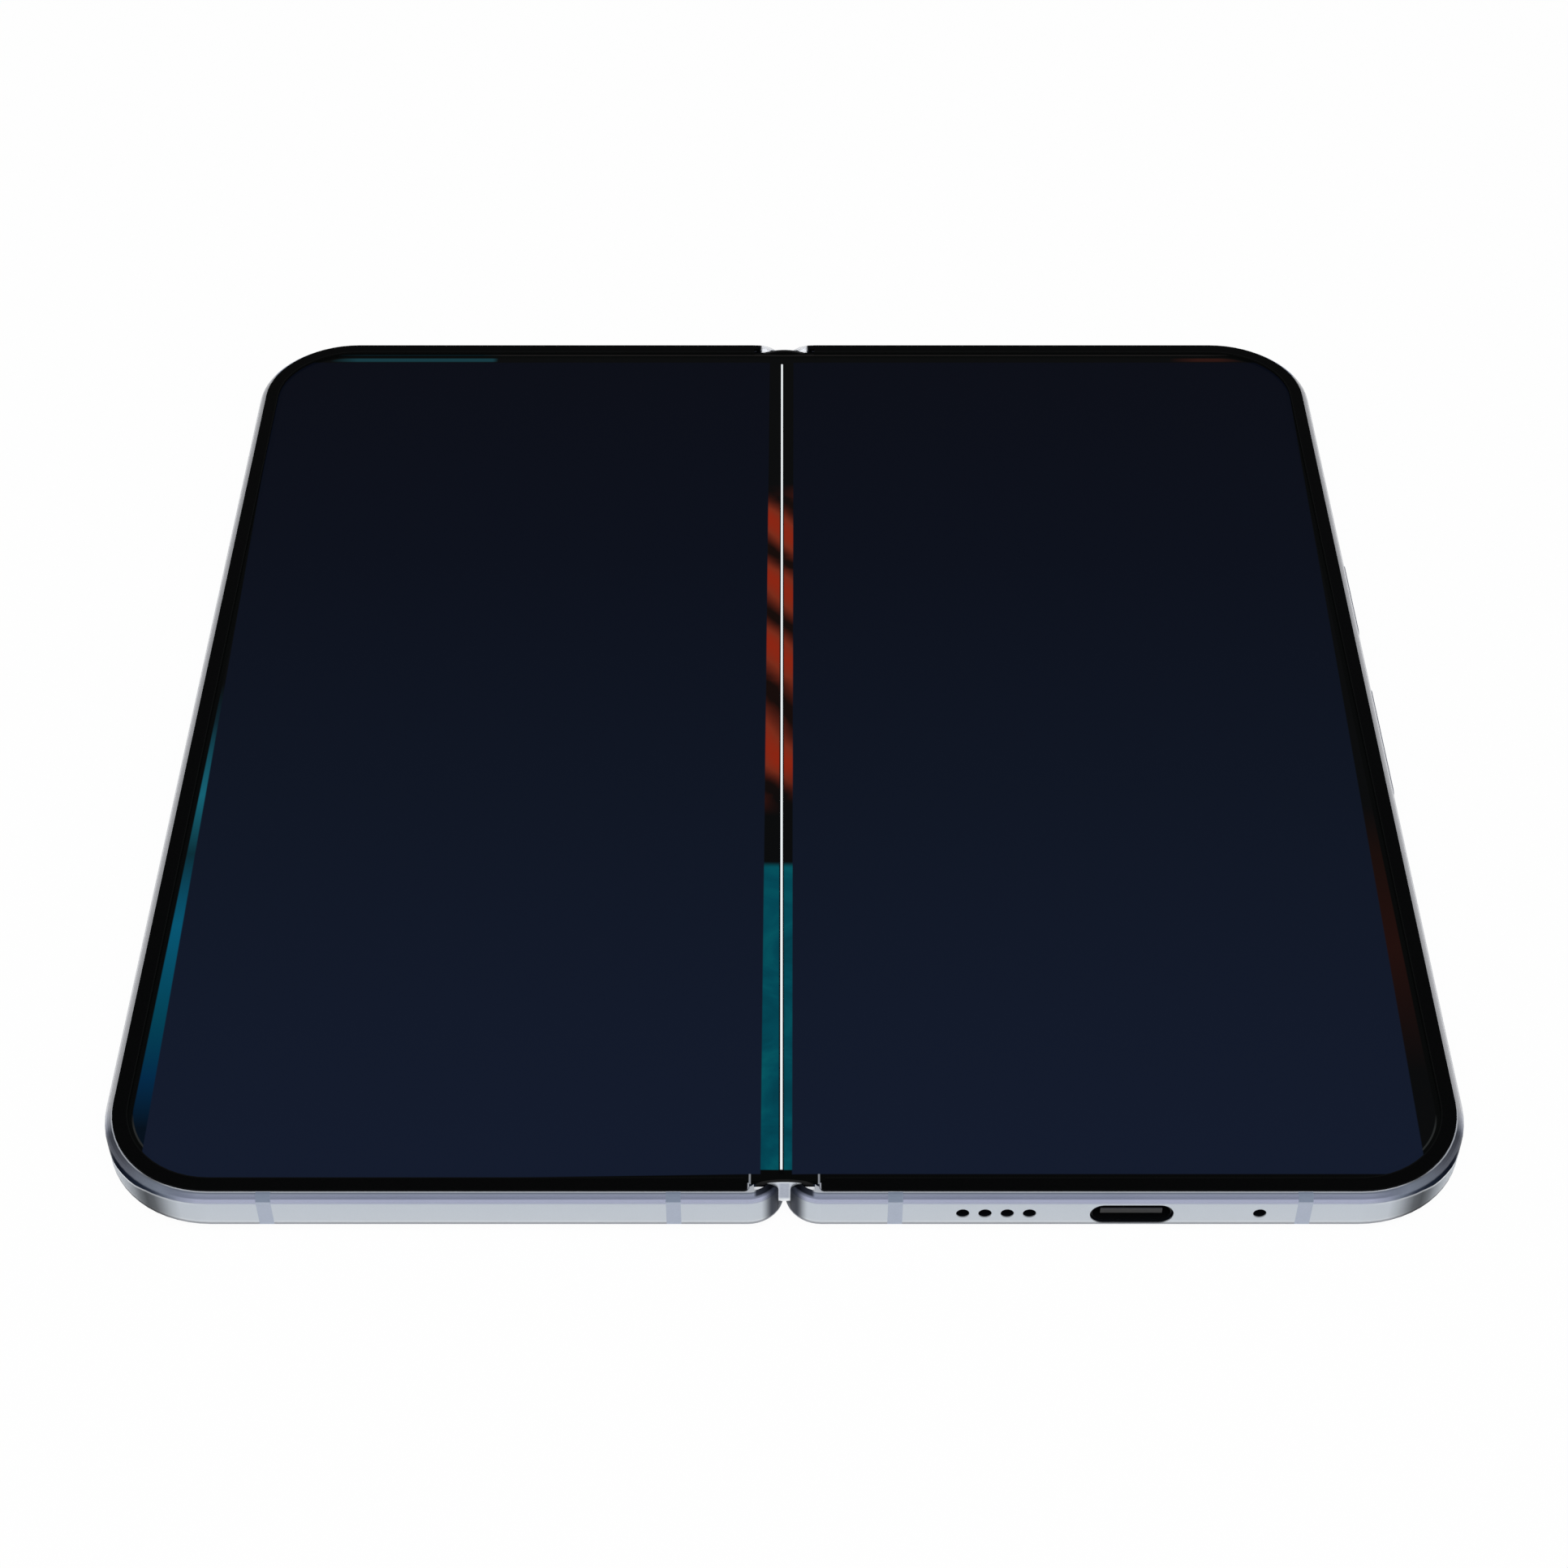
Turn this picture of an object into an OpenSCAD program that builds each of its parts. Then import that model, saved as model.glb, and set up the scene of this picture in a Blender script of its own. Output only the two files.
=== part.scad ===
// Foldable smartphone, lying open on its back, screen up.
// X runs across the fold, Y along it (the USB-C edge is at -Y), Z is up.
// The origin is under the middle of the fold, at the level that the phone rests on.

/* [Body] */
// Width of the open phone, across the fold
open_w = 150.2; // [146:0.2:156]
// Length of the phone, along the fold
body_l = 155.2; // [150:0.2:162]
// Thickness of one half, bezel included
half_t = 5.1; // [5:0.05:5.4]
// Plan radius of the outer corners
corner_r = 13; // [10:0.5:16]
// Plan radius of the corners beside the fold
fold_corner_r = 3.9; // [3:0.1:4.2]
// Gap between the two halves' back edges along the fold
back_gap = 0.2; // [0.2:0.05:0.6]
// Gap between the two bezels when the phone is folded
closed_gap = 0.3; // [0.3:0.05:0.5]

/* [Frame] */
// Height of the small chamfer along the back edge
back_chamfer = 0.3; // [0.2:0.05:0.4]
// Height of the rounding along the upper edge
bevel_drop = 1; // [0.8:0.05:1.4]
// Width of the rounding along the upper edge
bevel_w = 0.9; // [0.6:0.05:1.1]
// Height of the bezel above the rim's top
bezel_rise = 0.25; // [0.15:0.05:0.4]
// Wall between the outside and the component bay
side_wall = 2.4; // [2.2:0.1:3]
// Thickness of the mid-plate behind the display
mid_plate_t = 0.85; // [0.6:0.05:1]
// Thickness of the back lip over the hinge, and of the back glass
lip_t = 0.45; // [0.4:0.05:0.5]
// Width of one antenna break
break_w = 1.6; // [1:0.1:2]
// Distances of the antenna breaks from the fold
break_x = [11.95, 56.05];

/* [Display] */
// Thickness of the display stack
display_t = 0.6; // [0.5:0.05:0.7]
// Depth of the display's face below the bezel's top
display_drop = 0.35; // [0.3:0.05:0.4]
// Distance from the outer edge to the bezel's inner edge
bezel_reach = 2.65; // [2.3:0.05:3.2]
// Distance from the fold to each end of the bezel
bezel_end_x = 3.8; // [3.5:0.1:4.4]
// Half width of the display's bending zone
fold_zone = 8; // [7:0.5:10]

/* [Hinge] */
// Distance of each fold axis from the middle
axis_x = 2.2; // [2.1:0.05:2.3]
// Radius of the hinge shafts
shaft_r = 0.45; // [0.4:0.05:0.5]
// Radius of a wing's knuckle
knuckle_r = 0.9; // [0.8:0.05:0.95]
// Distance of each wing's middle from the middle of the phone
wing_y = 45; // [35:1:50]
// Width of a wing, along the fold
wing_w = 10; // [8:0.5:12]
// Number of teeth on each synchroniser gear
gear_teeth = 12; // [12:2:16]
// Length of the synchroniser gears
gear_l = 6; // [4:0.5:8]
// Number of disc springs in one pack
disc_count = 8; // [4:1:10]

/* [Ports and keys] */
// Distance of the USB-C port from the fold
usb_x = 37.5; // [34:0.1:42]
// Width of the USB-C slot in the wall
usb_w = 9.05; // [8.9:0.05:9.3]
// Height of the USB-C slot in the wall
usb_h = 3.16; // [3:0.02:3.2]
// Radius of the loudspeaker and microphone holes
port_hole_r = 0.72; // [0.5:0.02:0.8]
// Number of loudspeaker holes
speaker_holes = 4; // [2:1:5]
// Distance of the first loudspeaker hole from the fold
speaker_x = 19.25; // [18:0.1:20]
// Pitch of the loudspeaker holes
speaker_pitch = 2.4; // [2:0.1:2.6]
// Distance of the microphone hole from the fold
mic_x = 51.3; // [47:0.1:53]
// Distance of the far edge's microphone hole from the fold
far_mic_x = 25.4; // [20:0.2:30]
// Height of a key
key_h = 2; // [1.6:0.1:2.2]
// Distance that the keys stand out of the side
key_out = 0.4; // [0.3:0.05:0.6]
// Length of the power key
power_l = 14.6; // [12:0.2:16]
// Place of the power key along the side
power_y = 22.55; // [20:0.25:26]
// Length of the volume rocker
volume_l = 19.7; // [16:0.1:22]
// Place of the volume rocker along the side
volume_y = -4.65; // [-8:0.25:-2]

/* [Rear camera] */
// Height of the camera island over the back
island_h = 1.2; // [1:0.1:1.6]
// Width of the camera island
island_w = 26; // [24:0.5:28]
// Length of the camera island
island_l = 38; // [36:0.5:40]
// Radius of the rear lens barrels
lens_r = 3.8; // [3.2:0.1:4]

/* [Fits] */
// Clearance round a piece that is set into a seat
seat_gap = 0.05; // [0.02:0.01:0.1]
// Clearance between pieces that move past each other
move_gap = 0.1; // [0.08:0.01:0.15]
// Running clearance round the hinge shafts
shaft_fit = 0.03; // [0.02:0.01:0.05]

/* [Hidden] */
$fn = 64;
eps = 0.01;

// Outline of one half
fold_x = back_gap / 2;
side_x = open_w / 2;
end_y = body_l / 2;
rim_top = half_t - bezel_rise;
display_top = half_t - display_drop;
display_floor = display_top - display_t;
bay_top = display_floor - mid_plate_t;
bezel_seat = rim_top - 0.25;
bezel_edge = bevel_w + 0.06;
bezel_end_r = 0.6;
seat_slack = 0.02;
display_margin = 1.6;

// Frame wall section: [distance in from the outside, height]
wall_profile = concat(
    [[back_chamfer, 0], [0, back_chamfer]],
    [for (a = [0 : 18 : 90]) [bevel_w * (1 - cos(a)), rim_top - bevel_drop * (1 - sin(a))]]
);

// Component bay and the seat of the back glass
bay_x = 10.4;
bay_wall = side_wall + 0.3;
bay_side = side_x - bay_wall;
bay_end = end_y - bay_wall;
glass_x = 5.6;
glass_inset = 1.15;
glass_corner = 1.5;

// Hinge section
axis_z = half_t + closed_gap / 2 - axis_x;
pocket_r = axis_z - lip_t;
cover_r = pocket_r - move_gap;
cover_t = 0.35;
cover_top = axis_z - 0.9;
relief_r = axis_x - 0.3;
spine_end = end_y - 2;
pocket_end = spine_end + move_gap;
cap_t = 1.9;
cap_round = 1.8;
cap_lip = 0.4;
cap_lip_x = 3.1;
cap_crown_r = 8.5;
cap_top = half_t - 0.05;
bezel_notch_x = axis_x + cap_top + 0.15 - axis_z;
ledge_x = 3.3;
ledge_z = rim_top - 0.4;
rail_top = 1.8;
slope_x = 9.1;
foot_in = 4.9;
foot_out = 7.3;
arm_low = axis_z - 0.55;
arm_high = axis_z + 0.55;
screw_x = 6.4;
screw_r = 0.35;
screw_head_r = 0.65;
screw_head_h = 0.3;
screw_fit = 0.02;
screw_foot = lip_t + 0.35;
screw_inset = 2;
foot_over = 0.7;
screw_places = [for (s = [-1, 1], t = [-1, 1]) s * wing_y + t * (wing_w / 2 - screw_inset)];

// Bearing blocks of the spine: [middle, length] along Y
block_l = 2.8;
block_half_w = axis_x + knuckle_r;
block_top = axis_z + 0.85;
base_floor = axis_z - cover_r + cover_t;
base_top = base_floor + 0.55;
spine_screw_y = [for (s = [-1, 1], y = [gear_l / 2 + 12, wing_y - 15, spine_end - 7.75]) s * y];
wing_blocks = [
    for (side = [-1, 1], end = [-1, 1]) side * wing_y + end * (wing_w / 2 + move_gap + block_l / 2)
];
gear_blocks = [for (end = [-1, 1]) end * (gear_l / 2 + move_gap + block_l / 2)];
disc_t = 0.2;
disc_pitch = 0.25;
disc_r = 0.85;
collar_l = 1.2;
pack_y = wing_y + wing_w / 2 + move_gap + block_l + move_gap;
collar_y = pack_y + disc_count * disc_pitch + move_gap;
shaft_end = collar_y + collar_l + 1;

// Synchroniser gears: four equal gears in a row between the two fold axes
gear_pitch_r = axis_x / 3;
gear_module = 2 * gear_pitch_r / gear_teeth;
gear_tip_r = gear_pitch_r + 0.8 * gear_module;
gear_root_r = gear_pitch_r - 1.1 * gear_module;
idler_pin_r = 0.3;
pressure_angle = 25;
backlash = 0.12;
half_tooth = 180 / gear_teeth;

// Support plates under the fold
plate_in = 4.4;
plate_axis_x = 8.6;
plate_t = 0.3;
plate_pin_r = 0.2;
plate_axis_z = display_floor - 0.02 - plate_pin_r;
plate_end = bay_end - 0.1;
plate_notch_x = 7.6;

// USB-C port, holes and keys
usb_z = 2.05;
hole_z = 2.2;
far_mic_r = 0.4;
shell_w = usb_w - 0.35;
shell_h = bay_top - lip_t - 0.15;
shell_z = (bay_top + lip_t) / 2;
shell_wall = 0.1;
shell_front = 0.4;
shell_l = 7.4;
port_board_y = -end_y + shell_front + shell_l + 0.3;
tongue_w = 6.7;
tongue_t = 0.7;
tongue_front = 0.6;
key_z = 2.05;
key_shoulder = 1.5;
key_flange_t = 0.4;
key_flange_rim = 0.35;
key_travel = 0.3;
rocker_gap = 0.35;
rocker_arm = 6;
switch_out = 0.2;
rocker_axis_x = side_x - key_shoulder - rocker_gap - key_flange_t / 2;

// Stretch across a half that the boards and batteries take up
fold_margin = 2.6;
side_margin = 3.4;
parts_in = bay_x + fold_margin;
parts_side = bay_side - side_margin;
part_gap = 3;
air_gap = 0.15;

// Boards, batteries and what stands on them
board_t = 0.8;
board_low = bay_top - board_t;
battery_low = lip_t + 0.25;
lower_board_l = 46;
upper_parts_l = 24.9;
port_board_l = 14.2;
motor_x = 7;
motor_w = 10;
motor_l = 8;
can_t = 1.1;
can_l = 18;
can_space = 5;
board_cut = 7;
board_cut_w = 8;
board_cut_l = 30;
magnet_t = 1.4;
magnet_l = 8;
magnet_steps = [17.9, 38.4];
magnet_places = [for (s = [-1, 1], d = magnet_steps) s * (bay_end - d)];

// Cover screen, its camera and the earpiece
panel_t = 0.8;
panel_gap = 0.6;
panel_margin = 3.9;
panel_end = bay_end - panel_margin;
cover_camera_x = side_x - 33.6;
cover_camera_y = panel_end - 5;
cover_camera_w = 6;
cover_lens_r = 1.9;
earpiece_w = 15;
earpiece_l = 3;
ear_slot_w = 9;
ear_slot_l = 0.6;
lower_board_end = -panel_end + lower_board_l;

// Loudspeaker and microphones
speaker_before = 5.5;
speaker_after = 5.7;
speaker_l = 12.9;
mic_w = 4;
mic_l = 3;
mic_low = 1;

// Rear camera island
island_x = side_x - 4.8 - island_w / 2;
island_y = end_y - 6.6 - island_l / 2;
island_r = 8;
island_lip = 0.5;
camera_glass_t = 0.4;
camera_glass_rim = 2;
lens_pitch = 11.4;
barrel_drop = 0.05;
lens_rim = 0.7;
lens_stop = 1.5;
lens_depth = 1.1;
sensor_w = 8.6;
flash_r = 1.6;
flash_dx = 8.4;
upper_board_y = island_y - island_l / 2 - 6;

// ---- Shared shapes ----

// Raises the phone so that the camera island stands on the ground
module place() translate([0, 0, island_h]) children();

module left() mirror([1, 0, 0]) children();

// Draws a section in X and Z over a stretch of Y
module along_y(y_from, y_to)
    translate([0, y_to, 0]) rotate([90, 0, 0]) linear_extrude(y_to - y_from) children();

// Round bar along Y at a place in X and Z
module bar_y(x, z, r, y_from, y_to)
    along_y(y_from, y_to) translate([x, z]) circle(r);

// Outline between x0 and x1 with corner radius r0 on the fold side and r1 outside
module half_outline(x0, x1, y, r0, r1) {
    translate([x0 + r0, -y]) square([x1 - x0 - r0 - r1, 2 * y]);
    translate([x0, -y + r0]) square([r0 + eps, 2 * (y - r0)]);
    translate([x1 - r1 - eps, -y + r1]) square([r1 + eps, 2 * (y - r1)]);
    for (s = [-1, 1]) {
        translate([x0 + r0, s * (y - r0)]) circle(r0);
        translate([x1 - r1, s * (y - r1)]) circle(r1);
    }
}

// Same outline measured by its distance in from the outside of the half
module inset_outline(x0, inset, r0)
    half_outline(x0, side_x - inset, end_y - inset, r0, corner_r - inset);

module stadium(l, w)
    union() {
        square([l - w, w], center = true);
        for (s = [-1, 1]) translate([s * (l - w) / 2, 0]) circle(w / 2);
    }

module rounded_box(x, y, w, l, r, z0, z1)
    translate([x, y, z0]) linear_extrude(z1 - z0) union() {
        square([w - 2 * r, l], center = true);
        square([w, l - 2 * r], center = true);
        for (sx = [-1, 1], sy = [-1, 1]) translate([sx * (w / 2 - r), sy * (l / 2 - r)]) circle(r);
    }

module block(x0, x1, y0, y1, z0, z1)
    translate([x0, y0, z0]) cube([x1 - x0, y1 - y0, z1 - z0]);

// Section of the wall, seen along it, from the core out to a face at distance r
module wall_section(r)
    polygon(concat([[0, 0]], [for (p = wall_profile) [r - p[0], p[1]]], [[0, rim_top]]));

module corner(x, y, r, turn)
    translate([x, y, 0]) rotate([0, 0, turn]) rotate_extrude(angle = 90) wall_section(r);

// The whole outer form of one half, before anything is cut from it
module half_form() {
    r0 = fold_corner_r;
    r1 = corner_r;
    // Side strips
    along_y(-(end_y - r1), end_y - r1) translate([side_x - r1, 0]) wall_section(r1);
    along_y(-(end_y - r0), end_y - r0) translate([fold_x + r0, 0]) mirror([1, 0]) wall_section(r0);
    // Middle, with the near and far walls
    translate([fold_x + r0, 0, 0]) rotate([90, 0, 90]) linear_extrude(side_x - r1 - fold_x - r0) {
        translate([-eps, 0]) square([2 * eps, rim_top]);
        for (s = [0, 1]) mirror([s, 0]) {
            square([end_y - r1, rim_top]);
            translate([end_y - r1, 0]) wall_section(r1);
        }
    }
    corner(side_x - r1, end_y - r1, r1, 0);
    corner(side_x - r1, -end_y + r1, r1, -90);
    corner(fold_x + r0, end_y - r0, r0, 90);
    corner(fold_x + r0, -end_y + r0, r0, 180);
}

// Space that a half keeps clear for the hinge spine
module hinge_pocket() {
    bar_y(axis_x, axis_z, pocket_r, -pocket_end, pocket_end);
    block(-1, axis_x, -pocket_end, pocket_end, lip_t, half_t + 1);
    along_y(-bay_end, bay_end) polygon([
        [axis_x, rail_top], [foot_out + 0.1, rail_top], [slope_x, bay_top + 0.3],
        [slope_x, display_floor + eps], [axis_x, display_floor + eps]
    ]);
}

// Rounds the wall ends about the fold axis, so that they pass each other
module wall_end_relief()
    along_y(-end_y - 1, end_y + 1) difference() {
        translate([-1, axis_z]) square([axis_x + 1, half_t]);
        translate([axis_x, axis_z]) circle(relief_r);
    }

module half_solid()
    difference() {
        half_form();
        // Ledge inside the rim, beside the fold
        intersection() {
            block(-1, ledge_x, -end_y, end_y, ledge_z, half_t + 1);
            linear_extrude(half_t + 1) half_outline(fold_x + bezel_edge, side_x - bezel_edge,
                end_y - bezel_edge, fold_corner_r - bezel_edge, corner_r - bezel_edge);
        }
        // Component bay and the seat of the back glass
        translate([0, 0, -1]) linear_extrude(bay_top + 1)
            half_outline(bay_x, bay_side, bay_end, 2, corner_r - bay_wall);
        translate([0, 0, -1]) linear_extrude(lip_t + 1)
            inset_outline(glass_x, glass_inset, glass_corner);
        // Seats of the display and of the bezel
        translate([0, 0, display_floor]) linear_extrude(half_t)
            half_outline(ledge_x, side_x - display_margin, end_y - display_margin, 0.5,
                corner_r - display_margin);
        block(-1, ledge_x + 1, -pocket_end, pocket_end, display_floor, half_t + 1);
        translate([0, 0, bezel_seat]) linear_extrude(half_t)
            inset_outline(bezel_end_x - 2 * seat_slack, bezel_edge - seat_slack, bezel_end_r);
        hinge_pocket();
        wall_end_relief();
        // Holes of the wing screws and of the support plate's pins
        for (y = screw_places) translate([screw_x, y, screw_foot - seat_gap])
            cylinder(r = screw_r + screw_fit, h = half_t);
        bar_y(plate_axis_x, plate_axis_z, plate_pin_r + shaft_fit, -plate_end - 0.7, plate_end + 0.7);
    }

// Slots for the antenna breaks, cut into the near and far walls
module break_slots()
    for (x = break_x, s = [-1, 1])
        translate([x, s * end_y, half_t / 2]) cube([break_w, 2.4, half_t + 2], center = true);

module antenna_breaks()
    color("#a5a8bc") intersection() {
        half_solid();
        break_slots();
    }

// ---- Pieces that both halves have ----

module bezel()
    color("#0a0b0c") difference() {
        translate([0, 0, bezel_seat]) linear_extrude(half_t - bezel_seat)
            inset_outline(bezel_end_x, bezel_edge, bezel_end_r);
        translate([0, 0, bezel_seat - 1]) linear_extrude(display_top + 1 - bezel_seat)
            half_outline(-2, side_x - display_margin + seat_gap, end_y - display_margin + seat_gap, 0.5,
                corner_r - display_margin);
        translate([0, 0, display_top - eps]) linear_extrude(1)
            half_outline(-2, side_x - bezel_reach, end_y - bezel_reach, 0.5, corner_r - bezel_reach);
        // Notches that clear the crowns of the hinge caps when the phone folds
        block(0, bezel_notch_x, -pocket_end, pocket_end, 0, half_t + 1);
    }

module flat_display()
    color("#10142a") difference() {
        translate([0, 0, display_floor]) linear_extrude(display_t)
            half_outline(0, side_x - display_margin - seat_gap, end_y - display_margin - seat_gap, 0.5,
                corner_r - display_margin);
        block(-1, fold_zone, -end_y, end_y, display_floor - 1, half_t);
    }

module back_glass()
    linear_extrude(lip_t) inset_outline(glass_x + seat_gap, glass_inset + seat_gap, glass_corner);

module wing(y)
    color("#9a9da3") difference() {
        union() {
            bar_y(axis_x, axis_z, knuckle_r, y - wing_w / 2, y + wing_w / 2);
            block(axis_x, foot_in + foot_over, y - wing_w / 2, y + wing_w / 2, arm_low, arm_high);
            block(foot_in, foot_out, y - wing_w / 2, y + wing_w / 2, rail_top, arm_low + 0.1);
        }
        bar_y(axis_x, axis_z, shaft_r + 0.01, y - wing_w, y + wing_w);
        for (t = [-1, 1]) translate([screw_x, y + t * (wing_w / 2 - screw_inset), 0])
            cylinder(r = screw_r + screw_fit, h = half_t);
    }

module wing_screws()
    color("#c8cacd") for (y = screw_places) translate([screw_x, y, 0]) {
        translate([0, 0, screw_foot]) cylinder(r = screw_r, h = arm_low + 0.1 - screw_foot + eps);
        translate([0, 0, arm_low + 0.1]) cylinder(r = screw_head_r, h = screw_head_h);
    }

// Hinge shaft with a fixed collar beyond each spring pack
module shaft()
    color("#b8babd") {
        bar_y(axis_x, axis_z, shaft_r, -shaft_end, shaft_end);
        for (s = [-1, 1]) bar_y(axis_x, axis_z, disc_r,
            min(s * collar_y, s * (collar_y + collar_l)), max(s * collar_y, s * (collar_y + collar_l)));
    }

module magnets()
    color("#7d8085") for (y = magnet_places)
        block(bay_side - magnet_t, bay_side, y - magnet_l / 2, y + magnet_l / 2,
            lip_t + panel_t + seat_gap, bay_top);

module support_plate()
    color("#8e9196") {
        difference() {
            block(plate_in, plate_axis_x, -plate_end, plate_end, plate_axis_z + plate_pin_r - plate_t,
                plate_axis_z + plate_pin_r);
            for (s = [-1, 1]) block(0, plate_notch_x, s * wing_y - wing_w / 2 - 0.3,
                s * wing_y + wing_w / 2 + 0.3, 0, half_t);
        }
        bar_y(plate_axis_x, plate_axis_z, plate_pin_r, -plate_end - 0.6, plate_end + 0.6);
    }

// ---- Synchroniser ----

function involute_angle(r, base) = sqrt(pow(r / base, 2) - 1) * 180 / PI - acos(base / r);

// Half the angle that a tooth takes up at radius r
function tooth_half_angle(r, base) =
    90 / gear_teeth * (1 - backlash) + involute_angle(gear_pitch_r, base) - involute_angle(r, base);

module gear_section() {
    base = gear_pitch_r * cos(pressure_angle);
    low = max(base + 0.001, gear_root_r);
    steps = 4;
    flank = [for (i = [0 : steps]) low + (gear_tip_r - low) * i / steps];
    circle(gear_root_r);
    for (i = [0 : gear_teeth - 1]) rotate(i * 360 / gear_teeth) polygon(concat(
        [[0, 0], (gear_root_r - 0.02) * [cos(tooth_half_angle(low, base)),
            -sin(tooth_half_angle(low, base))]],
        [for (r = flank) r * [cos(tooth_half_angle(r, base)), -sin(tooth_half_angle(r, base))]],
        [for (i = [steps : -1 : 0]) flank[i] * [cos(tooth_half_angle(flank[i], base)),
            sin(tooth_half_angle(flank[i], base))]],
        [(gear_root_r - 0.02) * [cos(tooth_half_angle(low, base)),
            sin(tooth_half_angle(low, base))]]
    ));
}

// Gear number 0 is on the right shaft, 1 is the right idler beside it
module sync_gear(place_x, turn)
    translate([place_x, gear_l / 2, axis_z]) rotate([90, 0, 0]) linear_extrude(gear_l)
        rotate(turn) gear_section();

module main_gear(turn)
    color("#c2a45c") difference() {
        sync_gear(axis_x, turn);
        bar_y(axis_x, axis_z, shaft_r + 0.01, -gear_l, gear_l);
    }

module idler_gear(turn)
    color("#c2a45c") {
        sync_gear(gear_pitch_r, turn);
        bar_y(gear_pitch_r, axis_z, idler_pin_r, -gear_l / 2 - block_l + 0.3, gear_l / 2 + block_l - 0.3);
    }

// ---- Hinge spine ----

// Lower part of the spine's section, out to radius r about each fold axis
module spine_section(r)
    intersection() {
        union() {
            for (s = [-1, 1]) translate([s * axis_x, axis_z]) circle(r);
            translate([-axis_x, axis_z - r]) square([2 * axis_x, r]);
        }
        translate([-6, 0]) square([12, cover_top]);
    }

module hinge_cover()
    color("#c3c7cf") along_y(-spine_end + cap_t, spine_end - cap_t) difference() {
        spine_section(cover_r);
        for (s = [-1, 1]) translate([s * axis_x, axis_z]) circle(cover_r - cover_t);
        translate([-axis_x, base_floor]) square([2 * axis_x, cover_r]);
    }

module hinge_base()
    color("#8b8e93") difference() {
        union() {
            along_y(-spine_end + cap_t, spine_end - cap_t) intersection() {
                spine_section(cover_r - cover_t - 0.01);
                translate([-6, base_floor]) square([12, base_top - base_floor]);
            }
            for (y = concat(wing_blocks, gear_blocks)) block(-block_half_w, block_half_w,
                y - block_l / 2, y + block_l / 2, base_top - 0.1, block_top);
        }
        for (s = [-1, 1]) bar_y(s * axis_x, axis_z, shaft_r + shaft_fit, -end_y, end_y);
        for (s = [-1, 1]) bar_y(s * gear_pitch_r, axis_z, idler_pin_r + shaft_fit,
            -gear_l / 2 - block_l, gear_l / 2 + block_l);
        for (y = spine_screw_y) translate([0, y, base_floor - 1])
            cylinder(r = screw_r + screw_fit, h = 3);
    }

module hinge_screws()
    color("#c8cacd") for (y = spine_screw_y) translate([0, y, 0]) {
        translate([0, 0, base_floor]) cylinder(r = screw_r, h = base_top - base_floor + eps);
        translate([0, 0, base_top]) cylinder(r = screw_head_r, h = screw_head_h);
    }

// Side view of a cap, whose lower outer edge is rounded
module cap_side() {
    translate([spine_end - cap_t, 0]) square([cap_t - cap_round, half_t]);
    translate([spine_end - cap_t, axis_z - cover_r + cap_round]) square([cap_t, half_t]);
    translate([spine_end - cap_round, axis_z - cover_r + cap_round]) circle(cap_round);
}

// End cap of the spine: its outer face shows in the V gap at the end of the fold
module hinge_cap()
    color("#c3c7cf") {
        intersection() {
            along_y(spine_end - cap_t, spine_end) {
                spine_section(cover_r);
                translate([-block_half_w, cover_top - 0.1]) square([2 * block_half_w,
                    display_floor - cover_top]);
            }
            translate([-side_x, 0, 0]) rotate([90, 0, 90]) linear_extrude(2 * side_x) cap_side();
        }
        // Crowned lip in front of the display's end
        along_y(spine_end - cap_lip, spine_end) intersection() {
            translate([-cap_lip_x, cover_top]) square([2 * cap_lip_x, cap_top - cover_top]);
            translate([0, cap_top - cap_crown_r]) circle(cap_crown_r);
        }
    }

module centre_plate()
    color("#8e9196") block(-1.5, 1.5, -spine_end + cap_t, spine_end - cap_t, block_top, block_top + 0.2);

module disc_springs()
    color("#d6d7d9") for (sx = [-1, 1], s = [-1, 1], i = [0 : disc_count - 1])
        difference() {
            bar_y(sx * axis_x, axis_z, disc_r, s * (pack_y + (i + 0.5) * disc_pitch) - disc_t / 2,
                s * (pack_y + (i + 0.5) * disc_pitch) + disc_t / 2);
            bar_y(sx * axis_x, axis_z, shaft_r + shaft_fit, -end_y, end_y);
        }

module fold_display()
    color("#10142a") block(-fold_zone, fold_zone, -spine_end + cap_lip + seat_gap,
        spine_end - cap_lip - seat_gap, display_floor, display_top);

// ---- Left half ----

// The glass has the earpiece's slot by its far edge
module cover_screen_glass()
    color("#0c0d10") left() difference() {
        back_glass();
        translate([cover_camera_x, bay_end - earpiece_l / 2, -1]) linear_extrude(half_t)
            stadium(ear_slot_w, ear_slot_l);
    }

module cover_screen_panel()
    color("#151821") left() difference() {
        translate([0, 0, lip_t]) linear_extrude(panel_t)
            half_outline(bay_x + panel_gap, bay_side - panel_gap, panel_end, 4,
                corner_r - bay_wall - panel_gap);
        translate([cover_camera_x, cover_camera_y, 0]) cylinder(r = cover_lens_r + 0.1, h = half_t);
    }

module cover_camera()
    color("#1b1d22") left() translate([cover_camera_x, cover_camera_y, 0]) {
        translate([0, 0, lip_t]) cylinder(r = cover_lens_r, h = panel_t + 0.4);
        translate([-cover_camera_w / 2, -cover_camera_w / 2, lip_t + panel_t + 0.1])
            cube([cover_camera_w, cover_camera_w, bay_top - lip_t - panel_t - 0.1]);
    }

module earpiece()
    color("#2a2c30") left() block(cover_camera_x - earpiece_w / 2, cover_camera_x + earpiece_w / 2,
        bay_end - earpiece_l, bay_end, lip_t + air_gap, bay_top);

module left_battery()
    color("#26282c") left() block(parts_in, parts_side, lower_board_end + part_gap,
        bay_end - upper_parts_l, lip_t + panel_t + air_gap, bay_top);

module left_board()
    color("#1d4a35") left() block(parts_in, parts_side - 2, -panel_end, lower_board_end, board_low,
        bay_top);

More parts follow.
